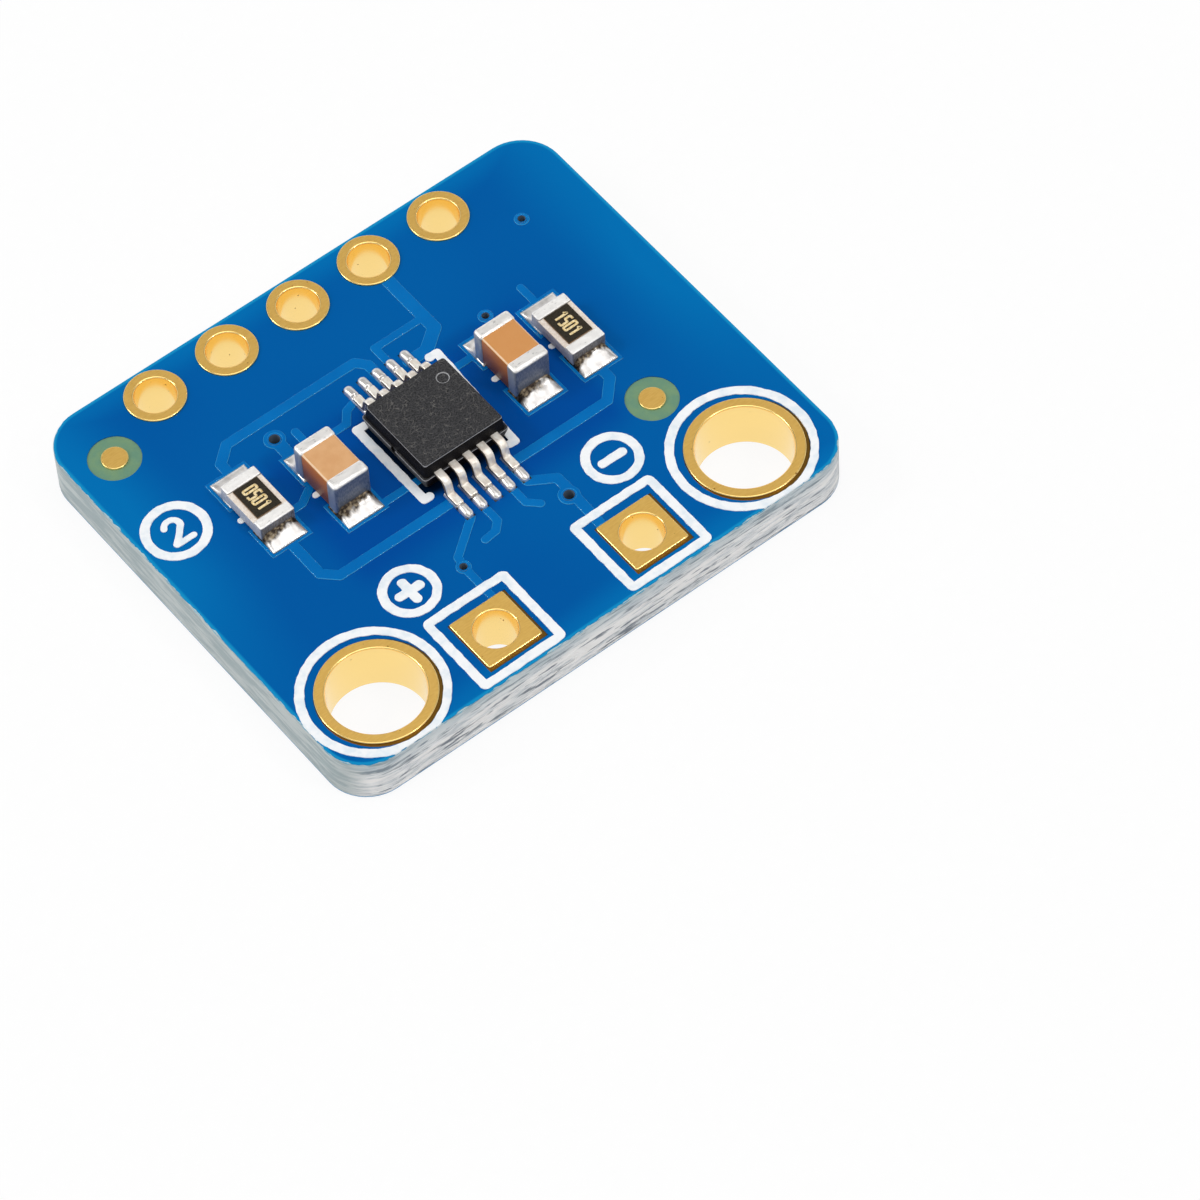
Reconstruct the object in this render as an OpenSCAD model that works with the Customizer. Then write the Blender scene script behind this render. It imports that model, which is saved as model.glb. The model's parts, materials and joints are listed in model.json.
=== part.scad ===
// Motor driver module: a small two-layer circuit board with one driver chip, two ceramic
// capacitors, two chip resistors, five header holes, two square motor pads and two mounting holes.
// Origin: centre of the outline, on the plane that the underside rings rest on.
// +X runs along the header row, +Y points to the header edge, +Z is up.

/* [Board] */
// Width of the board along the header row
board_w = 17.8; // [17.4:0.1:22]
// Depth of the board from the motor edge to the header edge
board_d = 15.2; // [14.8:0.1:19]
// Thickness of the board over both solder mask films
board_t = 1.6; // [0.8:0.1:2.4]
// Corner radius of the outline
corner_r = 1.35; // [0.6:0.05:1.6]
// Thickness of one solder mask film
mask_t = 0.03; // [0.02:0.005:0.05]
// Height of bare copper rings and pads over the mask beside them
pad_rise = 0.06; // [0.04:0.005:0.1]
// Wall of the copper barrel inside each plated hole
barrel_wall = 0.035; // [0.02:0.005:0.06]

/* [Header holes] */
// Spacing of the five header holes
header_pitch = 2.54; // [2.3:0.01:2.8]
// Offset of the middle header hole from the board's centre line
header_x = -0.29; // [-0.6:0.01:0.6]
// Distance from the header edge to the hole centres
header_inset = 1.01; // [1:0.01:1.4]
// Bore of a plated header hole
header_bore_d = 1.24; // [0.9:0.01:1.4]
// Outer diameter of a header ring
header_ring_d = 1.84; // [1.6:0.01:1.96]

/* [Mounting holes] */
// Spacing of the two mounting holes
mount_pitch = 13.05; // [12.4:0.05:13.3]
// Offset of the mounting holes' midpoint from the board's centre line
mount_x = -0.13; // [-0.3:0.01:0.3]
// Distance from the motor edge to the hole centres
mount_inset = 2; // [1.95:0.01:2.4]
// Bore of a plated mounting hole
mount_bore_d = 2.86; // [2.2:0.01:3]
// Outer diameter of a mounting ring
mount_ring_d = 3.5; // [3.2:0.01:3.56]
// Outer diameter of the printed ring round a mounting hole
mount_print_d = 4.38; // [4.1:0.02:4.5]

/* [Motor pads] */
// Spacing of the two motor pads
motor_pitch = 5.19; // [4.6:0.01:5.3]
// Offset of the motor pads' midpoint from the board's centre line
motor_x = -0.25; // [-0.5:0.01:0.5]
// Distance from the motor edge to the pad centres
motor_inset = 1.54; // [1.5:0.01:2]
// Side of a square motor pad
motor_pad_w = 1.88; // [1.6:0.01:2]
// Bore of a plated motor pad hole
motor_bore_d = 1.28; // [0.9:0.01:1.4]
// Side of the printed frame round a motor pad
motor_print_w = 2.94; // [2.7:0.02:3]

/* [Driver chip] */
// Chip centre across the board
chip_x = -0.02; // [-0.4:0.01:0.4]
// Chip centre along the board's depth
chip_y = 0.37; // [0:0.01:0.6]
// Side of the square moulded body at its parting line
chip_w = 3; // [2.8:0.05:3.1]
// Side of the body's flat top
chip_top_w = 2.78; // [2.6:0.02:2.8]
// Height of the body's top over the board
chip_h = 1.08; // [0.9:0.02:1.2]
// Gap between the body and the board
chip_standoff = 0.1; // [0.05:0.01:0.15]
// Pitch of the leads
lead_pitch = 0.5; // [0.45:0.01:0.55]
// Width of a lead
lead_w = 0.26; // [0.2:0.01:0.3]
// Thickness of the lead strip
lead_t = 0.15; // [0.1:0.01:0.18]
// Span over the toes of the two rows of leads
lead_span = 4.9; // [4.7:0.05:5.1]
// Length of a lead's flat foot
foot_l = 0.5; // [0.4:0.02:0.6]
// How far a lead runs into the moulded body
lead_embed = 0.35; // [0.2:0.05:0.6]
// How far a lead runs out level before it bends down
lead_shoulder = 0.16; // [0.1:0.01:0.2]

/* [Capacitors] */
// Left capacitor's centre across the board
cap_left_x = -3.29; // [-3.5:0.01:-3.1]
// Right capacitor's centre across the board
cap_right_x = 3.1; // [3:0.01:3.3]
// Both capacitors' centre along the board's depth
cap_y = 0.85; // [0.6:0.01:1.1]
// Length of a capacitor
cap_l = 2; // [1.8:0.05:2.2]
// Width of a capacitor
cap_w = 1.25; // [1.1:0.05:1.35]
// Height of a capacitor
cap_h = 1.25; // [0.8:0.05:1.4]
// Length of a capacitor's terminal
cap_cap_l = 0.45; // [0.3:0.01:0.55]
// Height of the solder against a capacitor's end
cap_solder_h = 0.34; // [0.3:0.02:0.54]

/* [Resistors] */
// Left resistor's centre across the board
res_left_x = -5.46; // [-5.7:0.01:-5.3]
// Left resistor's centre along the board's depth
res_left_y = 1.49; // [1.2:0.01:1.8]
// Right resistor's centre across the board
res_right_x = 5.04; // [4.9:0.01:5.3]
// Right resistor's centre along the board's depth
res_right_y = 0.74; // [0.5:0.01:1]
// Length of a resistor
res_l = 1.95; // [1.8:0.05:2.1]
// Width of a resistor
res_w = 1.2; // [1.1:0.05:1.3]
// Height of a resistor
res_h = 0.55; // [0.4:0.05:0.7]
// Length of a resistor's terminal
res_cap_l = 0.36; // [0.25:0.01:0.45]
// Gap between the dark overcoat and a terminal
coat_gap = 0.025; // [0.02:0.005:0.1]
// Width of the bare ceramic strip beside the dark overcoat
coat_side = 0.17; // [0.13:0.01:0.25]
// Thickness of the dark overcoat
coat_t = 0.05; // [0.03:0.01:0.08]
// Height of the solder against a resistor's end
res_solder_h = 0.26; // [0.2:0.02:0.38]

/* [Lands and solder] */
// Height of a tinned land over the mask
land_rise = 0.03; // [0.028:0.002:0.05]
// How far a capacitor or resistor land reaches past the part's end
land_reach = 0.56; // [0.55:0.01:0.65]
// How far a capacitor or resistor land runs in under the part
land_under = 0.45; // [0.4:0.01:0.55]
// Width of the masked copper round a capacitor or resistor land
land_rim = 0.1; // [0.06:0.01:0.12]
// How far a chip land reaches past the lead's toe
toe_reach = 0.5; // [0.3:0.01:0.55]
// How far a chip land reaches back past the lead's heel
heel_reach = 0.12; // [0.05:0.01:0.2]
// Width of a chip land
chip_land_w = 0.3; // [0.26:0.01:0.34]
// Thickness of the plating on capacitor and resistor terminals
terminal_t = 0.04; // [0.03:0.005:0.06]
// Rounding of the edges of a capacitor or resistor
edge_r = 0.08; // [0.05:0.01:0.12]

/* [Print and copper] */
// Thickness of the white print
print_t = 0.025; // [0.022:0.001:0.027]
// Height of a masked track over the mask beside it
track_rise = 0.018; // [0.01:0.002:0.02]
// Bore of an open via
via_d = 0.34; // [0.28:0.01:0.4]
// Bore of a small via
small_via_d = 0.24; // [0.2:0.01:0.26]
// Diameter of the masked land round an open via
via_land_d = 0.66; // [0.5:0.02:0.8]
// Diameter of the masked land round a small via
small_land_d = 0.46; // [0.36:0.02:0.6]
// How far the corner via lies in from the right edge
corner_via_x = 2.3; // [2.2:0.05:2.5]
// How far the corner via lies in from the header edge
corner_via_y = 2.63; // [2.5:0.01:2.8]
// How far the open motor via lies to the left of the right motor pad
motor_via_x = 0.77; // [0.7:0.01:0.85]
// How far the open motor via lies behind the motor pads
motor_via_y = 2.35; // [2.25:0.01:2.45]
// How far the small motor via lies to the right of the left motor pad
small_motor_via_x = 0.62; // [0.55:0.01:0.7]
// How far the small motor via lies behind the motor pads
small_motor_via_y = 2.28; // [2.2:0.01:2.4]
// How far the left capacitor's via lies to the left of its middle
cap_via_x = 0.37; // [0.3:0.01:0.45]
// How far the left capacitor's via lies behind its land
cap_via_y = 0.76; // [0.7:0.01:0.85]
// How far the right capacitor's via lies to the right of its middle
supply_via_x = 0.53; // [0.45:0.01:0.6]
// How far the right capacitor's via lies behind its land
supply_via_y = 0.42; // [0.38:0.01:0.5]
// Width of a signal track
track_w = 0.26; // [0.2:0.01:0.28]
// Width of a track to a resistor or to a motor pad
wide_track_w = 0.34; // [0.3:0.01:0.38]
// Width of the supply tracks
supply_track_w = 0.42; // [0.38:0.01:0.48]
// Diameter of a fiducial dot
fiducial_d = 0.8; // [0.6:0.02:1]
// Width of the bare ring round a fiducial dot
fiducial_gap = 0.39; // [0.3:0.01:0.45]
// Width of the printed line round the mounting holes, pads and marks
print_w = 0.28; // [0.2:0.01:0.3]
// How far the left fiducial lies in from the left edge
fiducial_x = 1.35; // [1.3:0.01:1.4]
// How far the left fiducial lies in from the header edge
fiducial_y = 2.05; // [2:0.01:2.15]
// How far the right fiducial lies to the left of the right mounting hole
right_fiducial_x = 0.92; // [0.85:0.01:1]
// How far the right fiducial lies behind the right mounting hole
right_fiducial_y = 3.05; // [3.02:0.01:3.15]
// How far the plus and minus marks lie behind the motor pads
mark_back = 2.58; // [2.55:0.01:2.65]
// How far the plus mark lies to the left of its motor pad
plus_out = 1.04; // [0.98:0.01:1.1]
// How far the minus mark lies to the right of its motor pad
minus_out = 0.96; // [0.9:0.01:1]
// How far the printed number lies in from the left edge
number_x = 1.2; // [1.15:0.01:1.3]
// How far the printed number lies behind the board's middle
number_y = 2.37; // [2.2:0.01:2.5]
// Diameter of the printed rings of the plus and minus marks
mark_d = 1.82; // [1.6:0.02:1.9]
// Diameter of the printed ring round the number
number_d = 2.06; // [1.8:0.02:2.2]
// Clearance between the mask opening and a bare ring or pad
mask_gap = 0.06; // [0.03:0.005:0.08]
// Sideways shift of the top mask artwork
mask_shift_x = 0.03; // [0:0.005:0.04]
// Shift of the top mask artwork towards the motor edge
mask_shift_y = 0.05; // [0:0.005:0.06]

/* [Hidden] */
header_count = 5;
leads_per_row = 5;
chip_leads = 2 * leads_per_row;

passives = ["capacitor_left", "capacitor_right", "resistor_left", "resistor_right"];
ends = ["back", "front"];

$fn = 48;
cut = 1;

// Levels of the stack, from the plane that the underside rings rest on
z_mask = pad_rise;
z_lam = z_mask + mask_t;
z_top = pad_rise + board_t;
z_lam_top = z_top - mask_t;
z_pad = z_top + pad_rise;
z_land = z_top + land_rise;
z_track = z_top + track_rise;

// Places of the holes and pads
header_y = board_d / 2 - header_inset;
mount_y = -board_d / 2 + mount_inset;
motor_y = -board_d / 2 + motor_inset;
mount_left = [mount_x - mount_pitch / 2, mount_y];
mount_right = [mount_x + mount_pitch / 2, mount_y];
motor_left = [motor_x - motor_pitch / 2, motor_y];
motor_right = [motor_x + motor_pitch / 2, motor_y];
function header_at(i) = [header_x + (i - (header_count + 1) / 2) * header_pitch, header_y];

// Fiducials and printed marks
fiducial_left = [-board_w / 2 + fiducial_x, board_d / 2 - fiducial_y];
fiducial_right = mount_right + [-right_fiducial_x, right_fiducial_y];
plus_at = motor_left + [-plus_out, mark_back];
minus_at = motor_right + [minus_out, mark_back];
number_at = [-board_w / 2 + number_x, number_y];

// Chip leads and lands
chip_half = chip_w / 2;
lead_half = lead_span / 2;
lead_z = z_top + (chip_standoff + chip_h) / 2;
foot_z = z_land + lead_t / 2;
chip_land_in = lead_half - foot_l - heel_reach;
chip_land_out = lead_half + toe_reach;
function lead_x(i) = chip_x + (i - (leads_per_row + 1) / 2) * lead_pitch;

// Capacitor and resistor places and sizes: [x, y, length, width, height, terminal, solder height]
cap_left = [cap_left_x, cap_y, cap_l, cap_w, cap_h, cap_cap_l, cap_solder_h];
cap_right = [cap_right_x, cap_y, cap_l, cap_w, cap_h, cap_cap_l, cap_solder_h];
res_left = [res_left_x, res_left_y, res_l, res_w, res_h, res_cap_l, res_solder_h];
res_right = [res_right_x, res_right_y, res_l, res_w, res_h, res_cap_l, res_solder_h];
parts = [cap_left, cap_right, res_left, res_right];
function land_end(p, side) = p[1] + side * (p[2] / 2 + land_reach);

// Places of the vias
via_cap = [cap_left_x - cap_via_x, land_end(cap_left, 1) + cap_via_y];
via_motor = [motor_right[0] - motor_via_x, motor_y + motor_via_y];
via_motor_small = [motor_left[0] + small_motor_via_x, motor_y + small_motor_via_y];
via_supply = [cap_right_x + supply_via_x, land_end(cap_right, 1) + supply_via_y];
via_corner = [board_w / 2 - corner_via_x, board_d / 2 - corner_via_y];
open_vias = [via_cap, via_motor];
small_vias = [via_motor_small, via_supply, via_corner];

// Levels on the board that the masked tracks run along
lead_back_y = chip_y + lead_half;
lead_front_y = chip_y - lead_half;
back_run_y = lead_back_y + 1.08;
front_run_y = chip_y - 2.17;
cap_run_y = land_end(cap_left, 1) - 0.12;
left_jog_y = land_end(res_left, -1) + 0.9;

// Masked tracks: [width, points], each from pad to pad. tuck is how far one runs in under a land.
tuck = 0.2;
track_list = [
  // Left resistor's back end to the chip's middle back lead
  [wide_track_w, [[res_left_x + 0.1, land_end(res_left, 1) - tuck],
    [res_left_x + 0.1, back_run_y - 0.46], [res_left_x + 0.64, back_run_y],
    [lead_x(3) - 0.27, back_run_y], [lead_x(3), back_run_y - 0.31], [lead_x(3), lead_back_y]]],
  // Left resistor's front end to the chip's left front lead
  [wide_track_w, [[res_left_x, land_end(res_left, -1) + tuck], [res_left_x, front_run_y + 0.4],
    [res_left_x + 0.4, front_run_y], [lead_x(1), front_run_y]]],
  // Left resistor's land to the left capacitor
  [track_w, [[res_left_x + 0.3, left_jog_y], [res_left_x + 1.06, left_jog_y],
    [cap_left_x - 0.56, left_jog_y + 0.36], [cap_left_x, left_jog_y + 0.36]]],
  // Left capacitor's back end: a stub, its via, and the chip's left back lead
  [track_w, [[cap_left_x + 0.24, land_end(cap_left, 1) - tuck],
    [cap_left_x + 0.24, land_end(cap_left, 1) + 0.6]]],
  [supply_track_w, [via_cap, [via_cap[0], land_end(cap_left, 1) - tuck]]],
  [track_w, [[cap_left_x + 0.4, cap_run_y], [lead_x(1) - 0.75, cap_run_y],
    [lead_x(1) - 0.45, lead_back_y - 0.15], [lead_x(1), lead_back_y]]],
  // Left capacitor's front end, in under the chip
  [track_w, [[cap_left_x + 0.4, land_end(cap_left, -1) + 0.12],
    [chip_x - 1, land_end(cap_left, -1) + 0.12]]],
  // Right capacitor's back end, in under the chip and to its via
  [track_w, [[cap_right_x - 0.4, land_end(cap_right, 1) - 0.5],
    [chip_x + 1, land_end(cap_right, 1) - 0.5]]],
  [track_w, [via_supply, [via_supply[0], land_end(cap_right, 1) - tuck]]],
  // Fourth header hole to the chip's two right back leads
  [supply_track_w, [header_at(4), [header_at(4)[0], back_run_y - 0.46],
    [header_at(4)[0] - 0.65, lead_back_y + 0.12], [lead_x(5), lead_back_y + 0.12]]],
  [track_w, [[header_at(4)[0], back_run_y + 0.04], [lead_x(4), back_run_y + 0.04],
    [lead_x(4), lead_back_y]]],
  // Right resistor's back end: a stub
  [track_w, [[res_right_x, land_end(res_right, 1) - tuck],
    [res_right_x, land_end(res_right, 1) + 0.72]]],
  // Right resistor's front end to the chip's right front lead
  [wide_track_w, [[lead_x(5), front_run_y], [res_right_x - 0.6, front_run_y],
    [res_right_x - 0.03, front_run_y + 0.6], [res_right_x - 0.03, land_end(res_right, -1) + tuck]]],
  // Chip's left front lead to the left motor pad
  [track_w, [[lead_x(1), lead_front_y], [lead_x(1), lead_front_y - 0.48],
    via_motor_small + [0.08, 0.36], via_motor_small, [via_motor_small[0], motor_y]]],
  // Chip's right front lead to the right motor pad
  [wide_track_w, [[lead_x(5), lead_front_y], [lead_x(5), lead_front_y - 0.5],
    [via_motor[0] + 0.11, lead_front_y - 0.95], [via_motor[0] + 0.11, via_motor[1]],
    [via_motor[0] + 0.03, motor_y]]],
  // Two short tracks from the front leads
  [track_w, [[lead_x(2), lead_front_y], [lead_x(2), lead_front_y - 1.05],
    [lead_x(2) - 0.26, lead_front_y - 1.3], [lead_x(2) - 0.66, lead_front_y - 1.35]]],
  [track_w, [[lead_x(4), lead_front_y], [lead_x(4), lead_front_y - 1.05],
    [lead_x(4) + 0.3, lead_front_y - 1.35]]]
];

function angle_of(v) = atan2(v[1], v[0]);

// A stretch of height between two levels
module slab(z0, z1) {
  translate([0, 0, z0]) linear_extrude(z1 - z0) children();
}

// A flat strip of one width along a line of points, with round bends
module strip(points, w, round_ends = false) {
  last = len(points) - 1;
  for (i = [0:last - 1]) {
    step = points[i + 1] - points[i];
    translate(points[i]) rotate(angle_of(step)) translate([0, -w / 2]) square([norm(step), w]);
  }
  bends = round_ends ? [0:last] : [1:last - 1];
  for (i = bends) translate(points[i]) circle(d = w);
}

module rounded_square(w, d, r) {
  square([w - 2 * r, d], center = true);
  square([w, d - 2 * r], center = true);
  for (x = [-1, 1], y = [-1, 1]) translate([x * (w / 2 - r), y * (d / 2 - r)]) circle(r);
}

// A block centred on X and Y, standing on z = 0, with all its edges rounded
module rounded_block(w, d, h, r) {
  translate([0, 0, h / 2]) intersection() {
    linear_extrude(h, center = true) rounded_square(w, d, r);
    rotate([90, 0, 0]) linear_extrude(d, center = true) rounded_square(w, h, r);
    rotate([90, 0, 90]) linear_extrude(w, center = true) rounded_square(d, h, r);
  }
}

module outline() {
  rounded_square(board_w, board_d, corner_r);
}

module drill(at, d) {
  translate([at[0], at[1], -cut]) cylinder(d = d, h = z_top + 2 * cut);
}

// Every drilled hole, wide enough for its copper barrel
module all_drills() {
  for (i = [1:header_count]) drill(header_at(i), header_bore_d + 2 * barrel_wall);
  for (at = [mount_left, mount_right]) drill(at, mount_bore_d + 2 * barrel_wall);
  for (at = [motor_left, motor_right]) drill(at, motor_bore_d + 2 * barrel_wall);
  via_drills();
}

module via_drills() {
  for (at = open_vias) drill(at, via_d + 2 * barrel_wall);
  for (at = small_vias) drill(at, small_via_d + 2 * barrel_wall);
}

// Openings in a mask film round the bare rings and pads
module ring_openings(shift, gap) {
  for (i = [1:header_count]) translate(header_at(i)) circle(d = header_ring_d);
  for (at = [mount_left, mount_right]) translate(at + shift) circle(d = mount_ring_d + 2 * gap);
  for (at = [motor_left, motor_right]) translate(at + shift)
    square(motor_pad_w + 2 * gap, center = true);
}

module top_openings() {
  ring_openings([mask_shift_x, -mask_shift_y], mask_gap);
  for (at = [fiducial_left, fiducial_right]) translate(at) circle(d = fiducial_d + 2 * fiducial_gap);
}

module chip_land_shapes() {
  for (i = [1:leads_per_row], side = [-1, 1])
    translate([lead_x(i), chip_y + side * (chip_land_in + chip_land_out) / 2])
      square([chip_land_w, chip_land_out - chip_land_in], center = true);
}

module passive_land_shapes(rim = 0) {
  for (p = parts, side = [-1, 1])
    translate([p[0], p[1] + side * (p[2] + land_reach - land_under) / 2])
      square([p[3] + 2 * rim, land_reach + land_under + 2 * rim], center = true);
}

module track_shapes() {
  for (t = track_list) strip(t[1], t[0], round_ends = true);
  for (at = open_vias) translate(at) circle(d = via_land_d);
  for (at = small_vias) translate(at) circle(d = small_land_d);
  passive_land_shapes(land_rim);
}

// Laminate and its two mask films

module pcb_laminate() {
  color("gainsboro") difference() {
    slab(z_lam, z_lam_top) outline();
    all_drills();
  }
}

module bottom_mask() {
  color("mediumblue") difference() {
    slab(z_mask, z_lam) difference() {
      outline();
      ring_openings([0, 0], mask_gap);
    }
    via_drills();
  }
}

module track_blanks() {
  difference() {
    slab(z_lam_top, z_track) track_shapes();
    slab(z_lam_top - cut, z_pad + cut) {
      top_openings();
      chip_land_shapes();
      passive_land_shapes();
    }
    via_drills();
  }
}

module top_mask() {
  color("mediumblue") difference() {
    slab(z_lam_top, z_top) outline();
    slab(z_lam_top - cut, z_pad + cut) {
      top_openings();
      chip_land_shapes();
      passive_land_shapes();
      track_shapes();
    }
  }
}

module tracks() {
  color("dodgerblue") track_blanks();
}

// Plated holes: a copper barrel with a ring or a square pad on each face

module plated_hole(at, bore_d) {
  color("goldenrod") difference() {
    union() {
      slab(0, z_lam) translate(at) children();
      slab(z_lam, z_lam_top) translate(at) circle(d = bore_d + 2 * barrel_wall);
      slab(z_lam_top, z_pad) translate(at) children();
    }
    drill(at, bore_d);
  }
}

module header_hole(i) {
  plated_hole(header_at(i), header_bore_d) circle(d = header_ring_d);
}

module mount_hole(at) {
  plated_hole(at, mount_bore_d) circle(d = mount_ring_d);
}

module motor_pad(at) {
  plated_hole(at, motor_bore_d) square(motor_pad_w, center = true);
}

module fiducial(at) {
  color("goldenrod") slab(z_lam_top, z_land) translate(at) circle(d = fiducial_d);
}

module via(at, d) {
  difference() {
    translate([at[0], at[1], z_mask]) cylinder(d = d + 2 * barrel_wall, h = z_track - z_mask);
    drill(at, d);
  }
}

module vias() {
  color("slategray") {
    for (at = open_vias) via(at, via_d);
    for (at = small_vias) via(at, small_via_d);
  }
}

// White print

module ring_print(d, w) {
  difference() {
    circle(d = d);
    circle(d = d - 2 * w);
  }
}

module frame_print() {
  difference() {
    rounded_square(motor_print_w, motor_print_w, 0.2);
    square(motor_print_w - 2 * print_w, center = true);
  }
}

// A bracket on each side of the chip; the right one reaches back past it and marks the pin one corner
module chip_print() {
  tick = 0.18;
  back_tick = 0.26;
  lean = 0.2;
  low = chip_y - chip_half - 0.11;
  high = chip_y + chip_half + 0.05;
  far = chip_y + chip_half + 0.79;
  left = chip_x - chip_half - 0.15;
  right = chip_x + chip_half + 0.07;
  strip([[left + back_tick, high], [left, high], [left, low], [left + tick, low]],
    print_w, round_ends = true);
  strip([[right + lean - back_tick, far], [right + lean, far], [right, low], [right - tick, low]],
    print_w, round_ends = true);
}

module polarity_print(at, plus) {
  arm = 0.98;
  line = 0.29;
  translate(at) {
    ring_print(mark_d, print_w);
    strip([[-(arm - line) / 2, 0], [(arm - line) / 2, 0]], line, round_ends = true);
    if (plus) strip([[0, -(arm - line) / 2], [0, (arm - line) / 2]], line, round_ends = true);
  }
}

// A ringed numeral two
module number_print() {
  line = 0.2;
  r = 0.24;
  top = [0, 0.18];
  arc = [for (a = [160:-20:-20]) top + r * [cos(a), sin(a)]];
  translate(number_at) {
    ring_print(number_d, print_w);
    strip(concat(arc, [[-0.26, -0.42], [0.3, -0.42]]), line, round_ends = true);
  }
}

// A short printed bar across the middle of each capacitor and resistor
module part_print() {
  reach = 0.1;
  for (p = parts) translate([p[0], p[1]])
    strip([[-p[3] / 2 - 0.02, 0], [p[3] / 2 - reach, 0]], 2 * reach, round_ends = true);
}

module silkscreen() {
  print_shift = [-0.07, 0.05];
  color("white") difference() {
    slab(z_top, z_top + print_t) difference() {
      intersection() {
        outline();
        union() {
          for (at = [mount_left, mount_right]) translate(at + print_shift)
            ring_print(mount_print_d, print_w);
          for (at = [motor_left, motor_right]) translate(at + print_shift * 0.5) frame_print();
          chip_print();
          polarity_print(plus_at, true);
          polarity_print(minus_at, false);
          number_print();
          part_print();
        }
      }
      top_openings();
      chip_land_shapes();
      passive_land_shapes();
    }
    track_blanks();
    via_drills();
  }
}

// Driver chip

module draft_profile() {
  flat = chip_top_w / 2;
  low = z_top + chip_standoff;
  high = z_top + chip_h;
  polygon([[-flat, low], [flat, low], [chip_half, lead_z],
    [flat, high], [-flat, high], [-chip_half, lead_z]]);
}

module chip_blank() {
  corner = 0.12;
  notch = 0.1;
  translate([chip_x, chip_y, 0]) difference() {
    intersection() {
      rotate([90, 0, 0]) linear_extrude(chip_w, center = true) draft_profile();
      rotate([90, 0, 90]) linear_extrude(chip_w, center = true) draft_profile();
      slab(z_top, z_top + chip_h) rounded_square(chip_w, chip_w, corner);
    }
    translate([chip_top_w / 2 - 0.42, chip_top_w / 2 - 0.52, z_top + chip_h - 0.02])
      cylinder(r = 0.18, h = cut);
    translate([-chip_half, 0, lead_z]) cube([notch, 2 * notch, notch], center = true);
  }
}

// Side profile of a lead, outwards and up
module lead_profile() {
  strip([[chip_half - lead_embed, lead_z], [chip_half + lead_shoulder, lead_z],
    [lead_half - foot_l, foot_z], [lead_half, foot_z]], lead_t);
}

// Leads 1 to 5 stand in the front row and 6 to 10 in the back row
module chip_lead_blank(n) {
  back = n > leads_per_row;
  i = back ? n - leads_per_row : n;
  translate([lead_x(i), chip_y, 0]) rotate([90, 0, back ? 90 : -90])
    linear_extrude(lead_w, center = true) lead_profile();
}

module chip_lead(n) {
  color("silver") chip_lead_blank(n);
}

module chip_body() {
  color("dimgray") difference() {
    chip_blank();
    for (n = [1:chip_leads]) chip_lead_blank(n);
  }
}

module chip_lands() {
  color("silver") slab(z_lam_top, z_land) chip_land_shapes();
}

// A solder fillet in side view: full height at the left, running out flat at the right
module fillet(w, h) {
  r = (w * w + h * h) / (2 * h);
  difference() {
    square([w, h]);
    translate([w, r]) circle(r, $fn = 96);
  }
}

module chip_solder() {
  toe_w = toe_reach - 0.04;
  color("silver")
    for (i = [1:leads_per_row], side = [-1, 1])
      translate([lead_x(i), chip_y, z_land]) rotate([90, 0, side * 90]) translate([lead_half, 0, 0])
        linear_extrude(chip_land_w, center = true) fillet(toe_w, lead_t);
}

// Capacitors and resistors, along Y

module passive_lands() {
  color("silver") slab(z_lam_top, z_land) passive_land_shapes();
}

module seated(p) {
  translate([p[0], p[1], z_land]) children();
}

// The outer block of a part with its plated ends
module part_blank(p) {
  rounded_block(p[3], p[2], p[4], edge_r);
}

// The space of a part's ceramic inside the plating
module core_space(p) {
  translate([-p[3] / 2 + terminal_t, -p[2] / 2 + terminal_t, terminal_t])
    cube([p[3] - 2 * terminal_t, p[2] - 2 * terminal_t, p[4] - 2 * terminal_t]);
}

module end_space(p, side) {
  translate([-p[3], side > 0 ? p[2] / 2 - p[5] : -p[2] / 2 - cut, -cut])
    cube([2 * p[3], p[5] + cut, p[4] + 2 * cut]);
}

module capacitor_body(p) {
  color("peru") seated(p) intersection() {
    core_space(p);
    part_blank(p);
  }
}

module capacitor_terminal(p, side) {
  color("silver") seated(p) difference() {
    intersection() {
      part_blank(p);
      end_space(p, side);
    }
    core_space(p);
  }
}

// A resistor's flat ceramic, full width, between the plating above and below it
module substrate_space(p) {
  translate([-p[3] / 2 - cut, -p[2] / 2 + terminal_t, terminal_t])
    cube([p[3] + 2 * cut, p[2] - 2 * terminal_t, p[4] - terminal_t - coat_t]);
}

module resistor_substrate(p) {
  color("whitesmoke") seated(p) intersection() {
    substrate_space(p);
    part_blank(p);
  }
}

module resistor_coat(p) {
  coat_l = p[2] - 2 * (p[5] + coat_gap);
  coat_w = p[3] - 2 * coat_side;
  color("black") seated(p)
    translate([-coat_w / 2, -coat_l / 2, p[4] - coat_t]) cube([coat_w, coat_l, coat_t]);
}

module resistor_terminal(p, side) {
  color("silver") seated(p) difference() {
    intersection() {
      part_blank(p);
      end_space(p, side);
    }
    substrate_space(p);
  }
}

module end_solder(p, side) {
  reach = land_reach - 0.02;
  color("silver") seated(p) rotate([90, 0, side * 90]) translate([p[2] / 2, 0, 0])
    linear_extrude(p[3] - 2 * edge_r, center = true) fillet(reach, p[6]);
}

module terminal(k, side) {
  if (k < 2) capacitor_terminal(parts[k], side);
  else resistor_terminal(parts[k], side);
}

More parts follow.
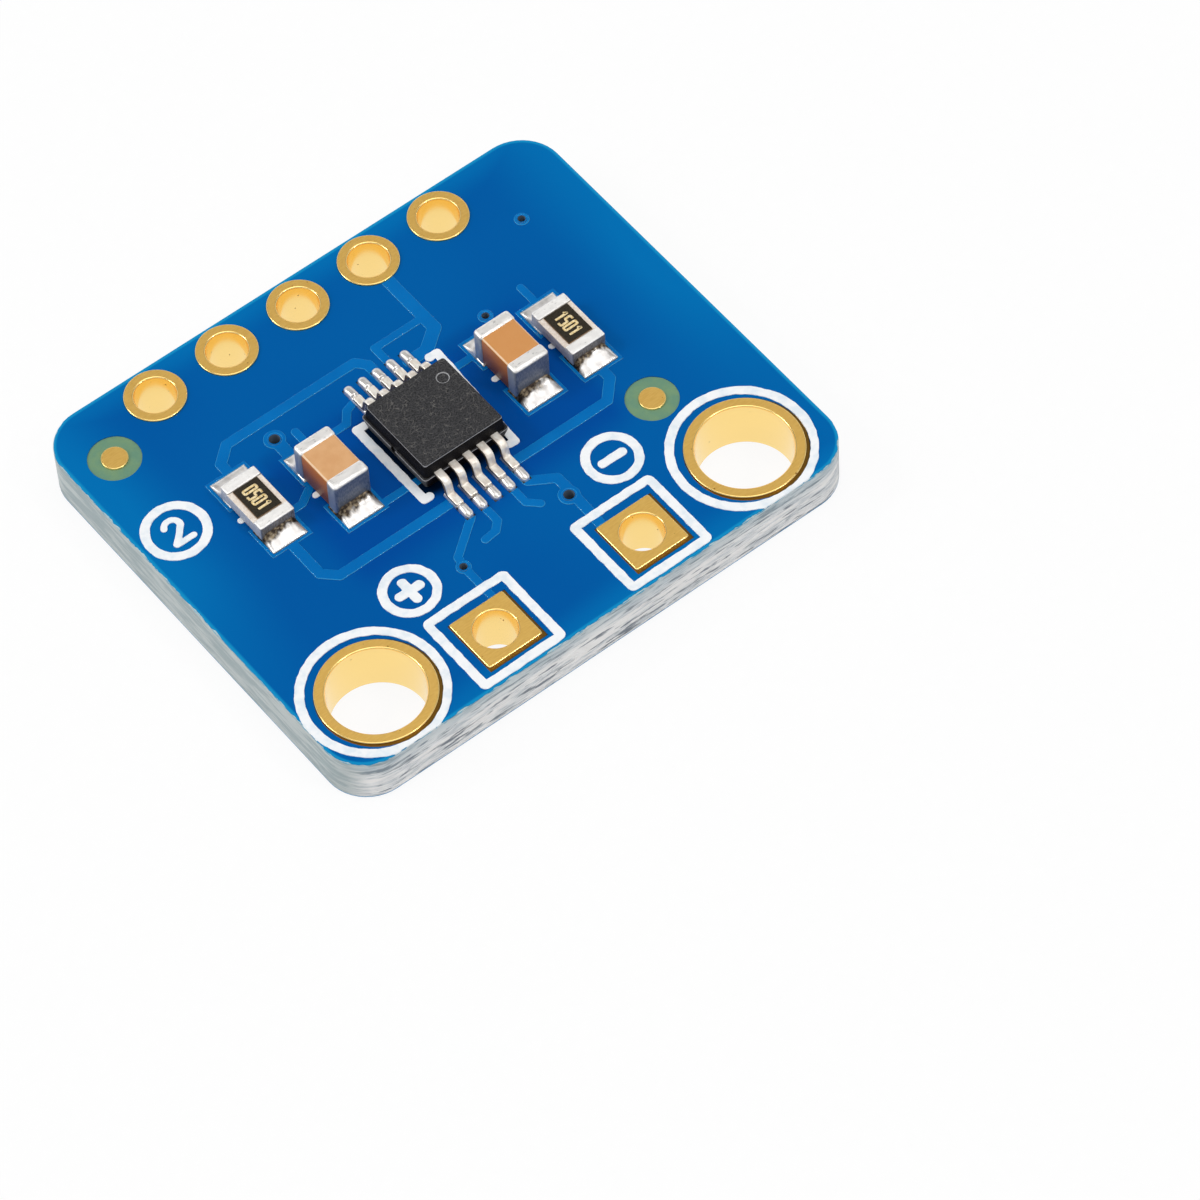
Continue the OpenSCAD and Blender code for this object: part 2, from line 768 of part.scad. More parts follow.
pcb_laminate();
top_mask();
bottom_mask();
silkscreen();
tracks();
for (i = [1:header_count])
  header_hole(i);
mount_hole(mount_left);  // mount_hole_left
mount_hole(mount_right);  // mount_hole_right
motor_pad(motor_left);  // motor_pad_plus
motor_pad(motor_right);  // motor_pad_minus
fiducial(fiducial_left);
fiducial(fiducial_right);
vias();
chip_body();
for (n = [1:chip_leads])
  chip_lead(n);
chip_lands();
chip_solder();
passive_lands();
capacitor_body(cap_left);  // capacitor_left_body
capacitor_body(cap_right);  // capacitor_right_body
resistor_substrate(res_left);  // resistor_left_substrate
resistor_substrate(res_right);  // resistor_right_substrate
resistor_coat(res_left);  // resistor_left_coat
resistor_coat(res_right);  // resistor_right_coat
for (k = [0:len(parts) - 1], side = [1, -1]) {
  end = side > 0 ? "back" : "front";
  terminal(k, side);
  end_solder(parts[k], side);
}
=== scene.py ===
"""The looks of a small blue motor driver board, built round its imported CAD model."""

import json
import math

import bmesh
import bpy
from mathutils import Matrix, Vector, noise


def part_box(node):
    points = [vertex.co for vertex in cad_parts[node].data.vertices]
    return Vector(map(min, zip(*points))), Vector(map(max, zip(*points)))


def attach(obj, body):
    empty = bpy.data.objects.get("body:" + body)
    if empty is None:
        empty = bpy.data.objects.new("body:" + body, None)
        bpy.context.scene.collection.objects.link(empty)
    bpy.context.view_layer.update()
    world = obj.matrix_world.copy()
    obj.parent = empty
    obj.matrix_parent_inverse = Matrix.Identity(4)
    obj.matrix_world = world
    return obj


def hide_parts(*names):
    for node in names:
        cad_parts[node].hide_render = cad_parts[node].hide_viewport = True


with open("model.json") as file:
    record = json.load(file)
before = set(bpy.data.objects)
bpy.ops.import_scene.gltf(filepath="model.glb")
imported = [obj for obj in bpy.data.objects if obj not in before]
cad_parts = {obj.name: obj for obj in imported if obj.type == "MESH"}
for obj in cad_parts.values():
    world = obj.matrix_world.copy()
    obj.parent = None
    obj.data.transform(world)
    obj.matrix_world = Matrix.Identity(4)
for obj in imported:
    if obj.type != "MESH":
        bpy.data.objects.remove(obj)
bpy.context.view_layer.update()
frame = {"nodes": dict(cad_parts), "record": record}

# Fixes the noise that the films' rims stray by, so that every run makes the same board
RIM_SEED = 3
noise.seed_set(RIM_SEED)

MM = 0.001
UM = 0.000001
Y, Z = Vector((0, 1, 0)), Vector((0, 0, 1))


def middle(node):
    """Centre of a CAD node's box."""
    low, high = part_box(node)
    return (low + high) / 2


def size(node):
    """Width, depth and height of a CAD node's box."""
    low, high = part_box(node)
    return high - low


# Levels and outline of the board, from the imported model
BOARD_LOW, BOARD_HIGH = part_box("pcb_laminate")
HALF_W, HALF_D = BOARD_HIGH.x, BOARD_HIGH.y
LAMINATE_LOW, LAMINATE_TOP = BOARD_LOW.z, BOARD_HIGH.z
PAD_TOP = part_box("mount_hole_left")[1].z
LAND_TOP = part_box("passive_lands")[1].z
CORNER_R = 1.35 * MM
BORES = {m["name"]: m["dims"]["r_mm"] * MM for m in frame["record"]["mounts"] if m["kind"] == "bore"}
BARREL_WALL = 0.035 * MM


# Colours and shader nodes


def srgb(code):
    """A colour written as sRGB hex, as linear red, green, blue and alpha."""
    parts = [int(code[i:i + 2], 16) / 255 for i in (1, 3, 5)]
    return [c / 12.92 if c <= 0.04045 else ((c + 0.055) / 1.055) ** 2.4 for c in parts] + [1.0]


def put(tree, socket, value):
    """Links another node's output to a socket, or sets the socket's plain value."""
    if isinstance(value, bpy.types.NodeSocket):
        tree.links.new(value, socket)
    else:
        socket.default_value = value


def add(tree, kind, inputs=(), out=0, **settings):
    """Adds a shader node and returns one of its outputs.

    The inputs fill the sockets that the node shows, in order, or by name where they are a dictionary.
    """
    made = tree.nodes.new("ShaderNode" + kind)
    for name, value in settings.items():
        setattr(made, name, value)
    if isinstance(inputs, dict):
        pairs = [(made.inputs[name], value) for name, value in inputs.items()]
    else:
        pairs = zip([socket for socket in made.inputs if socket.enabled], inputs)
    for socket, value in pairs:
        put(tree, socket, value)
    if isinstance(out, str):
        return made.outputs[out]
    return [socket for socket in made.outputs if socket.enabled][out]


SMOOTH = {"interpolation_type": "SMOOTHSTEP"}
COLOUR = {"data_type": "RGBA"}


def start(name):
    """A new material, its node tree, and the object coordinates in it."""
    material = bpy.data.materials.new(name)
    material.use_nodes = True
    tree = material.node_tree
    return material, tree, add(tree, "TexCoord", out="Object")


def finish(material, settings):
    """Fills the sockets of the material's shader, and returns the material."""
    shader = material.node_tree.nodes["Principled BSDF"]
    for name, value in settings.items():
        put(material.node_tree, shader.inputs[name], value)
    return material


def cloud(tree, place, grain, low=0.3, high=0.7, detail=2.0, stretch=(1, 1, 1)):
    """Noise with a grain of a length in metres, as a factor that rises from 0 to 1 between two levels."""
    scaled = add(tree, "Mapping", {"Vector": place, "Scale": [1 / (grain * s) for s in stretch]})
    soft = add(tree, "TexNoise", {"Vector": scaled, "Scale": 1.0, "Detail": detail})
    return add(tree, "MapRange", [soft, low, high], **SMOOTH)


def facing(tree):
    """How far a surface faces along X, along Y and up or down, each from 0 to 1."""
    normal = add(tree, "NewGeometry", out="Normal")
    parts = add(tree, "VectorMath", [normal], operation="ABSOLUTE")
    return [add(tree, "SeparateXYZ", [parts], out=axis) for axis in "XYZ"]


def veins(tree, place, grain, width):
    """Thin wandering lines, where a smooth noise passes its middle value."""
    scaled = add(tree, "Mapping", {"Vector": place, "Scale": [1 / grain] * 3})
    soft = add(tree, "TexNoise", {"Vector": scaled, "Scale": 1.0, "Detail": 1.0})
    off = add(tree, "Math", [soft, 0.5], operation="SUBTRACT")
    off = add(tree, "Math", [off], operation="ABSOLUTE")
    return add(tree, "MapRange", [off, 0.0, width, 1.0, 0.0], **SMOOTH)


def from_outline(tree, place):
    """How far a point lies in from the board's rounded outline, near that outline."""
    across = add(tree, "VectorMath", [place], operation="ABSOLUTE")
    core = (HALF_W - CORNER_R, HALF_D - CORNER_R, 1)
    beyond = add(tree, "VectorMath", [across, core], operation="SUBTRACT")
    beyond = add(tree, "VectorMath", [beyond, (0, 0, 0)], operation="MAXIMUM")
    reach = add(tree, "VectorMath", [beyond], operation="LENGTH")
    return add(tree, "Math", [CORNER_R, reach], operation="SUBTRACT")


# Materials


def solder_mask():
    """Photo-imaged epoxy film, flooded on and cured.

    It is a smooth deep blue, a little lighter near the sawn edges and most of all at the back, where light
    gets into the laminate under it, and bright cyan along the sawn edge itself. It is darker inside the loop
    of tracks round the chip, and nearly black in a painted shadow at the foot of the chip.
    """
    material, tree, place = start("solder_mask_epoxy")
    across = add(tree, "VectorMath", [place], operation="ABSOLUTE")
    over_x = add(tree, "SeparateXYZ", [across], out="X")
    over_y = add(tree, "SeparateXYZ", [across], out="Y")
    back = add(tree, "SeparateXYZ", [place], out="Y")
    back = add(tree, "MapRange", [back, -5 * MM, 2 * MM, 0.3, 1.0], **SMOOTH)
    side = add(tree, "MapRange", [over_x, HALF_W - 2.6 * MM, HALF_W], **SMOOTH)
    side = add(tree, "Math", [side, back], operation="MULTIPLY")
    end = add(tree, "MapRange", [over_y, HALF_D - 1.1 * MM, HALF_D, 0.0, 0.8], **SMOOTH)
    edge = add(tree, "Math", [side, end], operation="MAXIMUM")
    drift = cloud(tree, place, 6 * MM, detail=1.0)
    patchy = add(tree, "MapRange", [drift, 0.0, 1.0, -0.08, 0.2])
    lit = add(tree, "Math", [edge, patchy], operation="ADD", use_clamp=True)
    body = add(tree, "Mix", [lit, srgb("#0057A1"), srgb("#016EB2")], **COLOUR)
    inner_x = add(tree, "MapRange", [over_x, 4.2 * MM, 5.2 * MM, 1.0, 0.0], **SMOOTH)
    inner_y = add(tree, "MapRange", [over_y, 2.0 * MM, 3.2 * MM, 1.0, 0.0], **SMOOTH)
    inner = add(tree, "Math", [inner_x, inner_y], operation="MULTIPLY")
    colour = add(tree, "Mix", [inner, body, srgb("#004B9B")], **COLOUR)
    # Painted shadow at the foot of the chip, nearly black at its box and fading out 0.32 mm beyond it
    off_chip = add(tree, "VectorMath", [place, CHIP_AT], operation="SUBTRACT")
    off_chip = add(tree, "VectorMath", [off_chip], operation="ABSOLUTE")
    off_chip = add(tree, "VectorMath", [off_chip, size("chip_body") / 2], operation="SUBTRACT")
    apart = [add(tree, "SeparateXYZ", [off_chip], out=axis) for axis in "XY"]
    apart = add(tree, "Math", apart, operation="MAXIMUM")
    foot = add(tree, "MapRange", [apart, 0.0, 0.32 * MM, 0.95, 0.0], **SMOOTH)
    colour = add(tree, "Mix", [foot, colour, srgb("#00101F")], **COLOUR)
    cut = add(tree, "MapRange", [from_outline(tree, place), 0.05 * MM, 0.13 * MM, 0.85, 0.0], **SMOOTH)
    colour = add(tree, "Mix", [cut, colour, srgb("#1591C6")], **COLOUR)
    peel = cloud(tree, place, 0.8 * MM, detail=3.0)
    bump = add(tree, "Bump", {"Height": peel, "Distance": 2 * UM})
    return finish(material, {"Base Color": colour, "Roughness": 0.1, "IOR": 1.5, "Specular IOR Level": 0.05,
                             "Normal": bump})


def masked_copper():
    """Etched copper under the same film.

    It is a clearer, lighter blue, lightest on its shoulders with a painted highlight, and slate down the
    walls of holes with painted shade.
    """
    material, tree, place = start("copper_under_mask")
    patch = cloud(tree, place, 1.3 * MM)
    level = add(tree, "Mix", [patch, srgb("#0069B3"), srgb("#0270BA")], **COLOUR)
    flat = facing(tree)[2]
    # Painted highlight: the shoulders of the tracks are lighter
    shoulder = add(tree, "MapRange", [flat, 0.75, 0.985, 1.0, 0.0], **SMOOTH)
    colour = add(tree, "Mix", [shoulder, level, srgb("#2B9CD8")], **COLOUR)
    # Painted shade: the walls of the via holes are slate grey
    wall = add(tree, "MapRange", [flat, 0.2, 0.5, 1.0, 0.0], **SMOOTH)
    colour = add(tree, "Mix", [wall, colour, srgb("#6E7C8C")], **COLOUR)
    bump = add(tree, "Bump", {"Height": cloud(tree, place, 0.2 * MM, detail=3.0), "Distance": 3 * UM})
    return finish(material, {"Base Color": colour, "Roughness": 0.08, "IOR": 1.5, "Specular IOR Level": 0.12,
                             "Normal": bump})


def immersion_gold():
    """Flash gold over nickel on the copper.

    The flats are satin from the brushing of the copper, the drilled walls and rounded rims are polished, the
    foot that the mask half covers is brown with painted shade, and a few small pits are brown.
    """
    material, tree, place = start("immersion_gold")
    flat = facing(tree)[2]
    level_part = add(tree, "MapRange", [flat, 0.93, 0.998], **SMOOTH)
    brush = cloud(tree, place, 0.04 * MM, 0.3, 0.7, detail=3.0, stretch=(6, 1, 1))
    level = add(tree, "Mix", [brush, srgb("#EDBF64"), srgb("#F5CA70")], **COLOUR)
    colour = add(tree, "Mix", [level_part, srgb("#FFDE90"), level], **COLOUR)
    height = add(tree, "SeparateXYZ", [place], out="Z")
    # Painted shade: the low foot beside the ring is dark brown
    foot = add(tree, "Math", [height, FOOT_Z, 12 * UM], operation="COMPARE")
    foot = add(tree, "Math", [foot, level_part], operation="MULTIPLY")
    colour = add(tree, "Mix", [foot, colour, srgb("#7A5A24")], **COLOUR)
    pit = cloud(tree, place, 0.14 * MM, 0.765, 0.79, detail=1.0)
    colour = add(tree, "Mix", [pit, colour, srgb("#A06A24")], **COLOUR)
    rough = add(tree, "MapRange", [level_part, 0.0, 1.0, 0.2, 0.45])
    bump = add(tree, "Bump", {"Strength": level_part, "Height": brush, "Distance": 0.5 * UM})
    return finish(material, {"Base Color": colour, "Metallic": 1.0, "Roughness": rough, "Normal": bump})


def legend_ink():
    """White epoxy ink, screened on: matt, and bluish where the film is thin."""
    material, tree, place = start("legend_ink")
    thin = cloud(tree, place, 0.3 * MM, 0.4, 0.75)
    colour = add(tree, "Mix", [thin, srgb("#F6F8FA"), srgb("#E3ECF3")], **COLOUR)
    bump = add(tree, "Bump", {"Height": cloud(tree, place, 0.15 * MM, detail=2.0), "Distance": 3 * UM})
    return finish(material, {"Base Color": colour, "Roughness": 0.5, "IOR": 1.5, "Specular IOR Level": 0.2,
                             "Normal": bump})


def laminate():
    """Woven glass in epoxy.

    Where it lies bare it is brown with painted shade in the narrow gaps between the copper and the mask,
    green in the rings round the fiducials and pale at the outline. Its sawn faces are cut glass in grey and
    white: long streaks on the motor edge and its opposite, bluer towards the top, and a smoother face on the
    short sides.
    """
    material, tree, place = start("glass_epoxy_laminate")
    side_x, _, flat = facing(tree)
    height = add(tree, "SeparateXYZ", [place], out="Z")
    fibre = cloud(tree, place, 0.05 * MM, 0.38, 0.62, detail=4.0, stretch=(10, 10, 1))
    ply = cloud(tree, place, 0.15 * MM, 0.4, 0.6, detail=3.0, stretch=(8, 8, 1))
    shade = cloud(tree, place, 0.1 * MM, 0.54, 0.66, detail=3.0, stretch=(8, 8, 1))
    streaked = add(tree, "Mix", [fibre, srgb("#C8CED3"), srgb("#F4F5F6")], **COLOUR)
    streaked = add(tree, "Mix", [ply, streaked, srgb("#FCFBFA")], **COLOUR)
    streaked = add(tree, "Mix", [shade, streaked, srgb("#7F8791")], **COLOUR)
    upper = add(tree, "MapRange", [height, LAMINATE_TOP - 0.75 * MM, LAMINATE_TOP - 0.05 * MM, 0.0, 0.55],
                **SMOOTH)
    streaked = add(tree, "Mix", [upper, streaked, srgb("#9DB4BE")], **COLOUR)
    smoother = add(tree, "Mix", [ply, srgb("#A3B1B4"), srgb("#C2CACA")], **COLOUR)
    turned = add(tree, "MapRange", [side_x, 0.5, 0.95], **SMOOTH)
    sawn = add(tree, "Mix", [turned, streaked, smoother], **COLOUR)
    ragged = cloud(tree, place, 0.16 * MM, detail=4.0, stretch=(2, 2, 1))
    stray = add(tree, "Math", [ragged, 0.1 * MM, height], operation="MULTIPLY_ADD")
    stained = add(tree, "MapRange", [stray, LAMINATE_TOP + 0.01 * MM, LAMINATE_TOP + 0.06 * MM], **SMOOTH)
    sawn = add(tree, "Mix", [stained, sawn, srgb("#49A3C6")], **COLOUR)
    weave = cloud(tree, place, 0.4 * MM)
    green = add(tree, "Mix", [weave, srgb("#668F76"), srgb("#739672")], **COLOUR)
    marks = [middle(f"fiducial_{side}") for side in ("left", "right")]
    away = [add(tree, "VectorMath", [place, mark], operation="DISTANCE") for mark in marks]
    nearest = add(tree, "Math", away, operation="MINIMUM")
    ringed = add(tree, "MapRange", [nearest, 0.95 * MM, 1.05 * MM, 1.0, 0.0], **SMOOTH)
    # Painted shade: bare laminate is dark brown in the narrow gaps between copper and mask
    bare = add(tree, "Mix", [ringed, srgb("#3B3325"), green], **COLOUR)
    outline = add(tree, "MapRange", [from_outline(tree, place), 0.08 * MM, 0.12 * MM, 1.0, 0.0], **SMOOTH)
    bare = add(tree, "Mix", [outline, bare, srgb("#B9D0D2")], **COLOUR)
    colour = add(tree, "Mix", [add(tree, "MapRange", [flat, 0.4, 0.6], **SMOOTH), sawn, bare], **COLOUR)
    bump = add(tree, "Bump", {"Height": fibre, "Distance": 14 * UM})
    return finish(material, {"Base Color": colour, "Roughness": 0.5, "IOR": 1.5, "Specular IOR Level": 0.25,
                             "Normal": bump})


def moulding_compound():
    """Black epoxy filled with silica, transfer moulded.

    The top has an eroded grain with pale wandering lines and a pale rim, which is a painted highlight. The
    sides are smooth and near black. Below the parting line they are greyer on the left and right, and
    brownish black at the leads with painted shade.
    """
    material, tree, place = start("moulding_compound")
    flat = facing(tree)[2]
    speck = cloud(tree, place, 0.045 * MM, 0.3, 0.7, detail=4.0)
    worn = cloud(tree, place, 0.3 * MM, 0.35, 0.6)
    line = add(tree, "Math", [veins(tree, place, 0.18 * MM, 0.03), worn], operation="MULTIPLY")
    top = add(tree, "Mix", [speck, srgb("#282829"), srgb("#48484A")], **COLOUR)
    top = add(tree, "Mix", [line, top, srgb("#646260")], **COLOUR)
    # Painted highlight along the rounded rim of the top
    rim = add(tree, "Math", [flat, 0.6, 0.27], operation="COMPARE")
    height = add(tree, "SeparateXYZ", [place], out="Z")
    lower = add(tree, "MapRange", [height, PARTING_Z - 0.01 * MM, PARTING_Z + 0.03 * MM, 1.0, 0.0], **SMOOTH)
    ends = add(tree, "MapRange", [facing(tree)[0], 0.3, 0.9], **SMOOTH)
    # Painted shade: brownish black below the parting line at the leads
    below = add(tree, "Mix", [ends, srgb("#1C1613"), srgb("#565656")], **COLOUR)
    side = add(tree, "Mix", [lower, srgb("#1A1817"), below], **COLOUR)
    level = add(tree, "MapRange", [flat, 0.6, 0.95], **SMOOTH)
    colour = add(tree, "Mix", [level, side, top], **COLOUR)
    colour = add(tree, "Mix", [rim, colour, srgb("#A2A2A4")], **COLOUR)
    rough = add(tree, "MapRange", [level, 0.0, 1.0, 0.28, 0.5])
    bump = add(tree, "Bump", {"Height": speck, "Distance": 6 * UM})
    return finish(material, {"Base Color": colour, "Roughness": rough, "IOR": 1.5,
                             "Specular IOR Level": 0.06, "Normal": bump})


def tinned_strip():
    """Matt tin plated over a copper alloy strip, cut and bent in a die.

    It is bright and slightly warm, and brown on the cut sides.
    """
    material, tree, place = start("tinned_lead_strip")
    smear = cloud(tree, place, 0.12 * MM, detail=2.0, stretch=(1, 2, 2))
    colour = add(tree, "Mix", [smear, srgb("#FFFBF2"), srgb("#EADFD2")], **COLOUR)
    cut = add(tree, "MapRange", [facing(tree)[0], 0.8, 0.98], **SMOOTH)
    colour = add(tree, "Mix", [cut, colour, srgb("#6E5F50")], **COLOUR)
    bump = add(tree, "Bump", {"Height": smear, "Distance": 1.5 * UM})
    return finish(material, {"Base Color": colour, "Metallic": 0.4, "Roughness": 0.34, "Normal": bump})


def solder():
    """Tin-silver solder, reflowed: bright and wet looking. Flux scorched on makes it brown in places, and so
    does painted shade.
    """
    material, tree, place = start("reflowed_solder")
    # Scorched flux on the small parts' joints, painted shade on the chip's joints
    flux_and_shade = add(tree, "Attribute", out="Fac", attribute_name="flux_and_shade")
    mottle = cloud(tree, place, 0.16 * MM, 0.3, 0.7, detail=3.0, stretch=(1, 1.6, 1))
    margin = add(tree, "Math", [mottle, -0.4, flux_and_shade], operation="MULTIPLY_ADD")
    scorched_and_shaded = add(tree, "MapRange", [margin, -0.05, 0.65], **SMOOTH)
    scorch_and_shade_colours = add(tree, "Mix", [cloud(tree, place, 0.1 * MM, 0.4, 0.7, detail=3.0), srgb("#30261F"),
                              srgb("#8A7B64")], **COLOUR)
    streak = cloud(tree, place, 0.2 * MM, 0.35, 0.75, stretch=(1, 2, 1))
    bright = add(tree, "Mix", [streak, srgb("#EFECE9"), srgb("#D2CECB")], **COLOUR)
    colour = add(tree, "Mix", [scorched_and_shaded, bright, scorch_and_shade_colours], **COLOUR)
    rough = add(tree, "MapRange", [scorched_and_shaded, 0.0, 1.0, 0.3, 0.45])
    bump = add(tree, "Bump", {"Height": cloud(tree, place, 0.3 * MM, detail=1.0), "Distance": 2.5 * UM})
    return finish(material, {"Base Color": colour, "Metallic": 0.75, "Roughness": rough, "Normal": bump})


def plated_end(name, top_colour, shaded_side_colour, shaded_end_colour, metallic):
    """Tin over nickel, barrel plated on the end of a chip part.

    It is pale and mottled by the tumbling on top, and carries fine upright rubs on its sides and end. These
    are darker with painted shade, and on the capacitors bluish with a painted reflection of the board.
    """
    material, tree, place = start(name)
    smear = cloud(tree, place, 0.2 * MM, 0.35, 0.65, detail=3.0, stretch=(1.6, 1, 1))
    scuff = cloud(tree, place, 0.08 * MM, 0.6, 0.72, detail=3.0, stretch=(2, 1, 1))
    worn = add(tree, "Math", [smear, 0.25, scuff], operation="MULTIPLY_ADD", use_clamp=True)
    worn = add(tree, "MapRange", [worn, 0.0, 1.0, 0.0, 0.5])
    pale = add(tree, "Mix", [worn, srgb(top_colour), srgb("#979694")], **COLOUR)
    rub = cloud(tree, place, 0.025 * MM, 0.35, 0.65, detail=3.0, stretch=(1, 1, 5))
    along_y, upward = facing(tree)[1:]
    flat = add(tree, "MapRange", [upward, 0.25, 0.75], **SMOOTH)
    shaded = add(tree, "MapRange", [rub, 0.0, 1.0, 0.0, 0.25])
    endwise = add(tree, "MapRange", [along_y, 0.3, 0.9], **SMOOTH)
    # Painted shade and reflection: the sides and end are darker than the top, the end most
    side = add(tree, "Mix", [endwise, srgb(shaded_side_colour), srgb(shaded_end_colour)], **COLOUR)
    side = add(tree, "Mix", [shaded, side, srgb("#C9CCD2")], **COLOUR)
    colour = add(tree, "Mix", [flat, side, pale], **COLOUR)
    bump = add(tree, "Bump", {"Height": smear, "Distance": 6 * UM})
    return finish(material, {"Base Color": colour, "Metallic": metallic, "Roughness": 0.36, "Normal": bump})


def capacitor_ceramic():
    """Fired barium titanate, tumbled before plating.

    It is a dense orange tan, deeper in the right-hand part, paler on its rounded edges with a painted
    highlight, and brown down its sides with painted shade that darkens towards the bottom.
    """
    material, tree, place = start("capacitor_ceramic")
    tape = cloud(tree, place, 0.3 * MM, detail=3.0)
    top = add(tree, "Mix", [tape, srgb("#D8A26E"), srgb("#DEAB78")], **COLOUR)
    right = add(tree, "SeparateXYZ", [place], out="X")
    right = add(tree, "MapRange", [right, -2 * MM, 2 * MM, 0.0, 0.8])
    top = add(tree, "Mix", [right, top, srgb("#D18E4C")], **COLOUR)
    # Painted shade down the sides, darkest at the bottom
    height = add(tree, "SeparateXYZ", [place], out="Z")
    high_up = add(tree, "MapRange", [height, LAND_TOP + 0.2 * MM, LAND_TOP + 1.2 * MM], **SMOOTH)
    wall = add(tree, "Mix", [high_up, srgb("#7A4828"), srgb("#C27434")], **COLOUR)
    flat = facing(tree)[2]
    colour = add(tree, "Mix", [add(tree, "MapRange", [flat, 0.1, 0.8], **SMOOTH), wall, top], **COLOUR)
    # Painted highlight on the rounded edges
    painted_edge_highlight = add(tree, "Math", [flat, 0.72, 0.2], operation="COMPARE")
    colour = add(tree, "Mix", [painted_edge_highlight, colour, srgb("#ECC9A2")], **COLOUR)
    bump = add(tree, "Bump", {"Height": cloud(tree, place, 0.04 * MM, detail=3.0), "Distance": 2 * UM})
    return finish(material, {"Base Color": colour, "Roughness": 0.3, "IOR": 1.6, "Specular IOR Level": 0.25,
                             "Normal": bump})


def alumina():
    """Fired alumina, snapped along scribed lines: a warm chalky white on top, a cooler grey at its sides."""
    material, tree, place = start("fired_alumina")
    chalk = cloud(tree, place, 0.08 * MM, detail=4.0)
    top = add(tree, "Mix", [chalk, srgb("#E2D3C4"), srgb("#F3EADF")], **COLOUR)
    wall = add(tree, "Mix", [chalk, srgb("#B4B6BB"), srgb("#CDCED1")], **COLOUR)
    flat = add(tree, "MapRange", [facing(tree)[2], 0.3, 0.8], **SMOOTH)
    colour = add(tree, "Mix", [flat, wall, top], **COLOUR)
    bump = add(tree, "Bump", {"Height": chalk, "Distance": 3 * UM})
    return finish(material, {"Base Color": colour, "Roughness": 0.4, "IOR": 1.6, "Specular IOR Level": 0.35,
                             "Normal": bump})


def overcoat():
    """Black glass glaze screened over the resistor film: smooth, and golden brown at its thin rim."""
    material, tree, place = start("black_overcoat_glaze")
    fleck = cloud(tree, place, 0.05 * MM, detail=3.0)
    top = add(tree, "Mix", [fleck, srgb("#262219"), srgb("#373126")], **COLOUR)
    flat = facing(tree)[2]
    colour = add(tree, "Mix", [add(tree, "MapRange", [flat, 0.6, 0.97], **SMOOTH), srgb("#8A6C4A"), top],
                 **COLOUR)
    bump = add(tree, "Bump", {"Height": fleck, "Distance": 2 * UM})
    return finish(material, {"Base Color": colour, "Roughness": 0.35, "IOR": 1.5, "Specular IOR Level": 0.2,
                             "Normal": bump})


def marking_paint():
    """Cream marking paint, stamped on the overcoat: matt, and ochre where it is thin."""
    material, tree, place = start("cream_marking_paint")
    thin = cloud(tree, place, 0.07 * MM, 0.4, 0.7, detail=3.0)
    colour = add(tree, "Mix", [thin, srgb("#F7E3B2"), srgb("#DDBB74")], **COLOUR)
    bump = add(tree, "Bump", {"Height": thin, "Distance": 2 * UM})
    return finish(material, {"Base Color": colour, "Roughness": 0.5, "IOR": 1.5, "Specular IOR Level": 0.3,
                             "Normal": bump})


# Mesh helpers


def wire(points, closed=False):
    """A mesh that is one line through the points, and its corner vertices."""
    bm = bmesh.new()
    verts = [bm.verts.new(p) for p in points]
    pairs = list(zip(verts, verts[1:]))
    if closed:
        pairs.append((verts[-1], verts[0]))
    for pair in pairs:
        bm.edges.new(pair)
    return bm, verts


def round_corners(bm, verts, radius, segments=4):
    """Rounds some corners of a line."""
    bmesh.ops.bevel(bm, geom=verts, offset=radius, offset_type="OFFSET", affect="VERTICES",
                    segments=segments, profile=0.5, material=-1)


def round_edges(bm, edges, radius, segments=3):
    """Rounds some edges of a solid."""
    bmesh.ops.bevel(bm, geom=edges, offset=radius, offset_type="OFFSET", affect="EDGES",
                    segments=segments, profile=0.5, material=-1, clamp_overlap=True)


def refine(bm, step):
    """Cuts the edges into stretches no longer than a step."""
    by_cuts = {}
    for edge in bm.edges:
        cuts = int(edge.calc_length() / step)
        if cuts:
            by_cuts.setdefault(cuts, []).append(edge)
    for cuts, edges in by_cuts.items():
        bmesh.ops.subdivide_edges(bm, edges=edges, cuts=cuts)


def made_verts(result):
    """The vertices among what an operator made."""
    return [v for v in result["geom"] if isinstance(v, bmesh.types.BMVert)]


def pull(bm, faces):
    """Extrudes a patch of faces, and returns what was made in place of the old ones."""
    around = list(dict.fromkeys(e for f in faces for e in f.edges))
    return bmesh.ops.extrude_face_region(bm, geom=list(faces) + around)


def spin_round(bm, steps=96):
    """Spins a section all the way round the Z axis."""
    bmesh.ops.spin(bm, geom=bm.verts[:] + bm.edges[:], cent=(0, 0, 0), axis=Z, angle=2 * math.pi,
                   steps=steps, use_merge=True)
    bmesh.ops.remove_doubles(bm, verts=bm.verts, dist=0.5 * UM)
    bmesh.ops.recalc_face_normals(bm, faces=bm.faces)


def block(low, high):
    """A box between two corners."""
    bm = bmesh.new()
    bmesh.ops.create_cube(bm, size=1)
    bmesh.ops.scale(bm, vec=high - low, verts=bm.verts)
    bmesh.ops.translate(bm, vec=(low + high) / 2, verts=bm.verts)
    return bm


def show(name, bm, material, nodes, crease=35):
    """Makes a piece of a finished mesh, which rides on the board and stands for the CAD nodes.

    Its level faces are shaded flat, so that a rounded rim doesn't tint them.
    """
    mesh = bpy.data.meshes.new(name)
    bm.to_mesh(mesh)
    bm.free()
    mesh.materials.append(material)
    mesh.set_sharp_from_angle(angle=math.radians(crease))
    mesh.polygons.foreach_set("use_smooth", [abs(f.normal.z) < 0.9999 for f in mesh.polygons])
    piece = bpy.data.objects.new(name, mesh)
    bpy.context.scene.collection.objects.link(piece)
    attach(piece, "root")
    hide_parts(*nodes)
    return piece


def dress(node, material):
    """Gives a CAD node that stays its material."""
    for slot in frame["nodes"][node].material_slots:
        slot.material = material


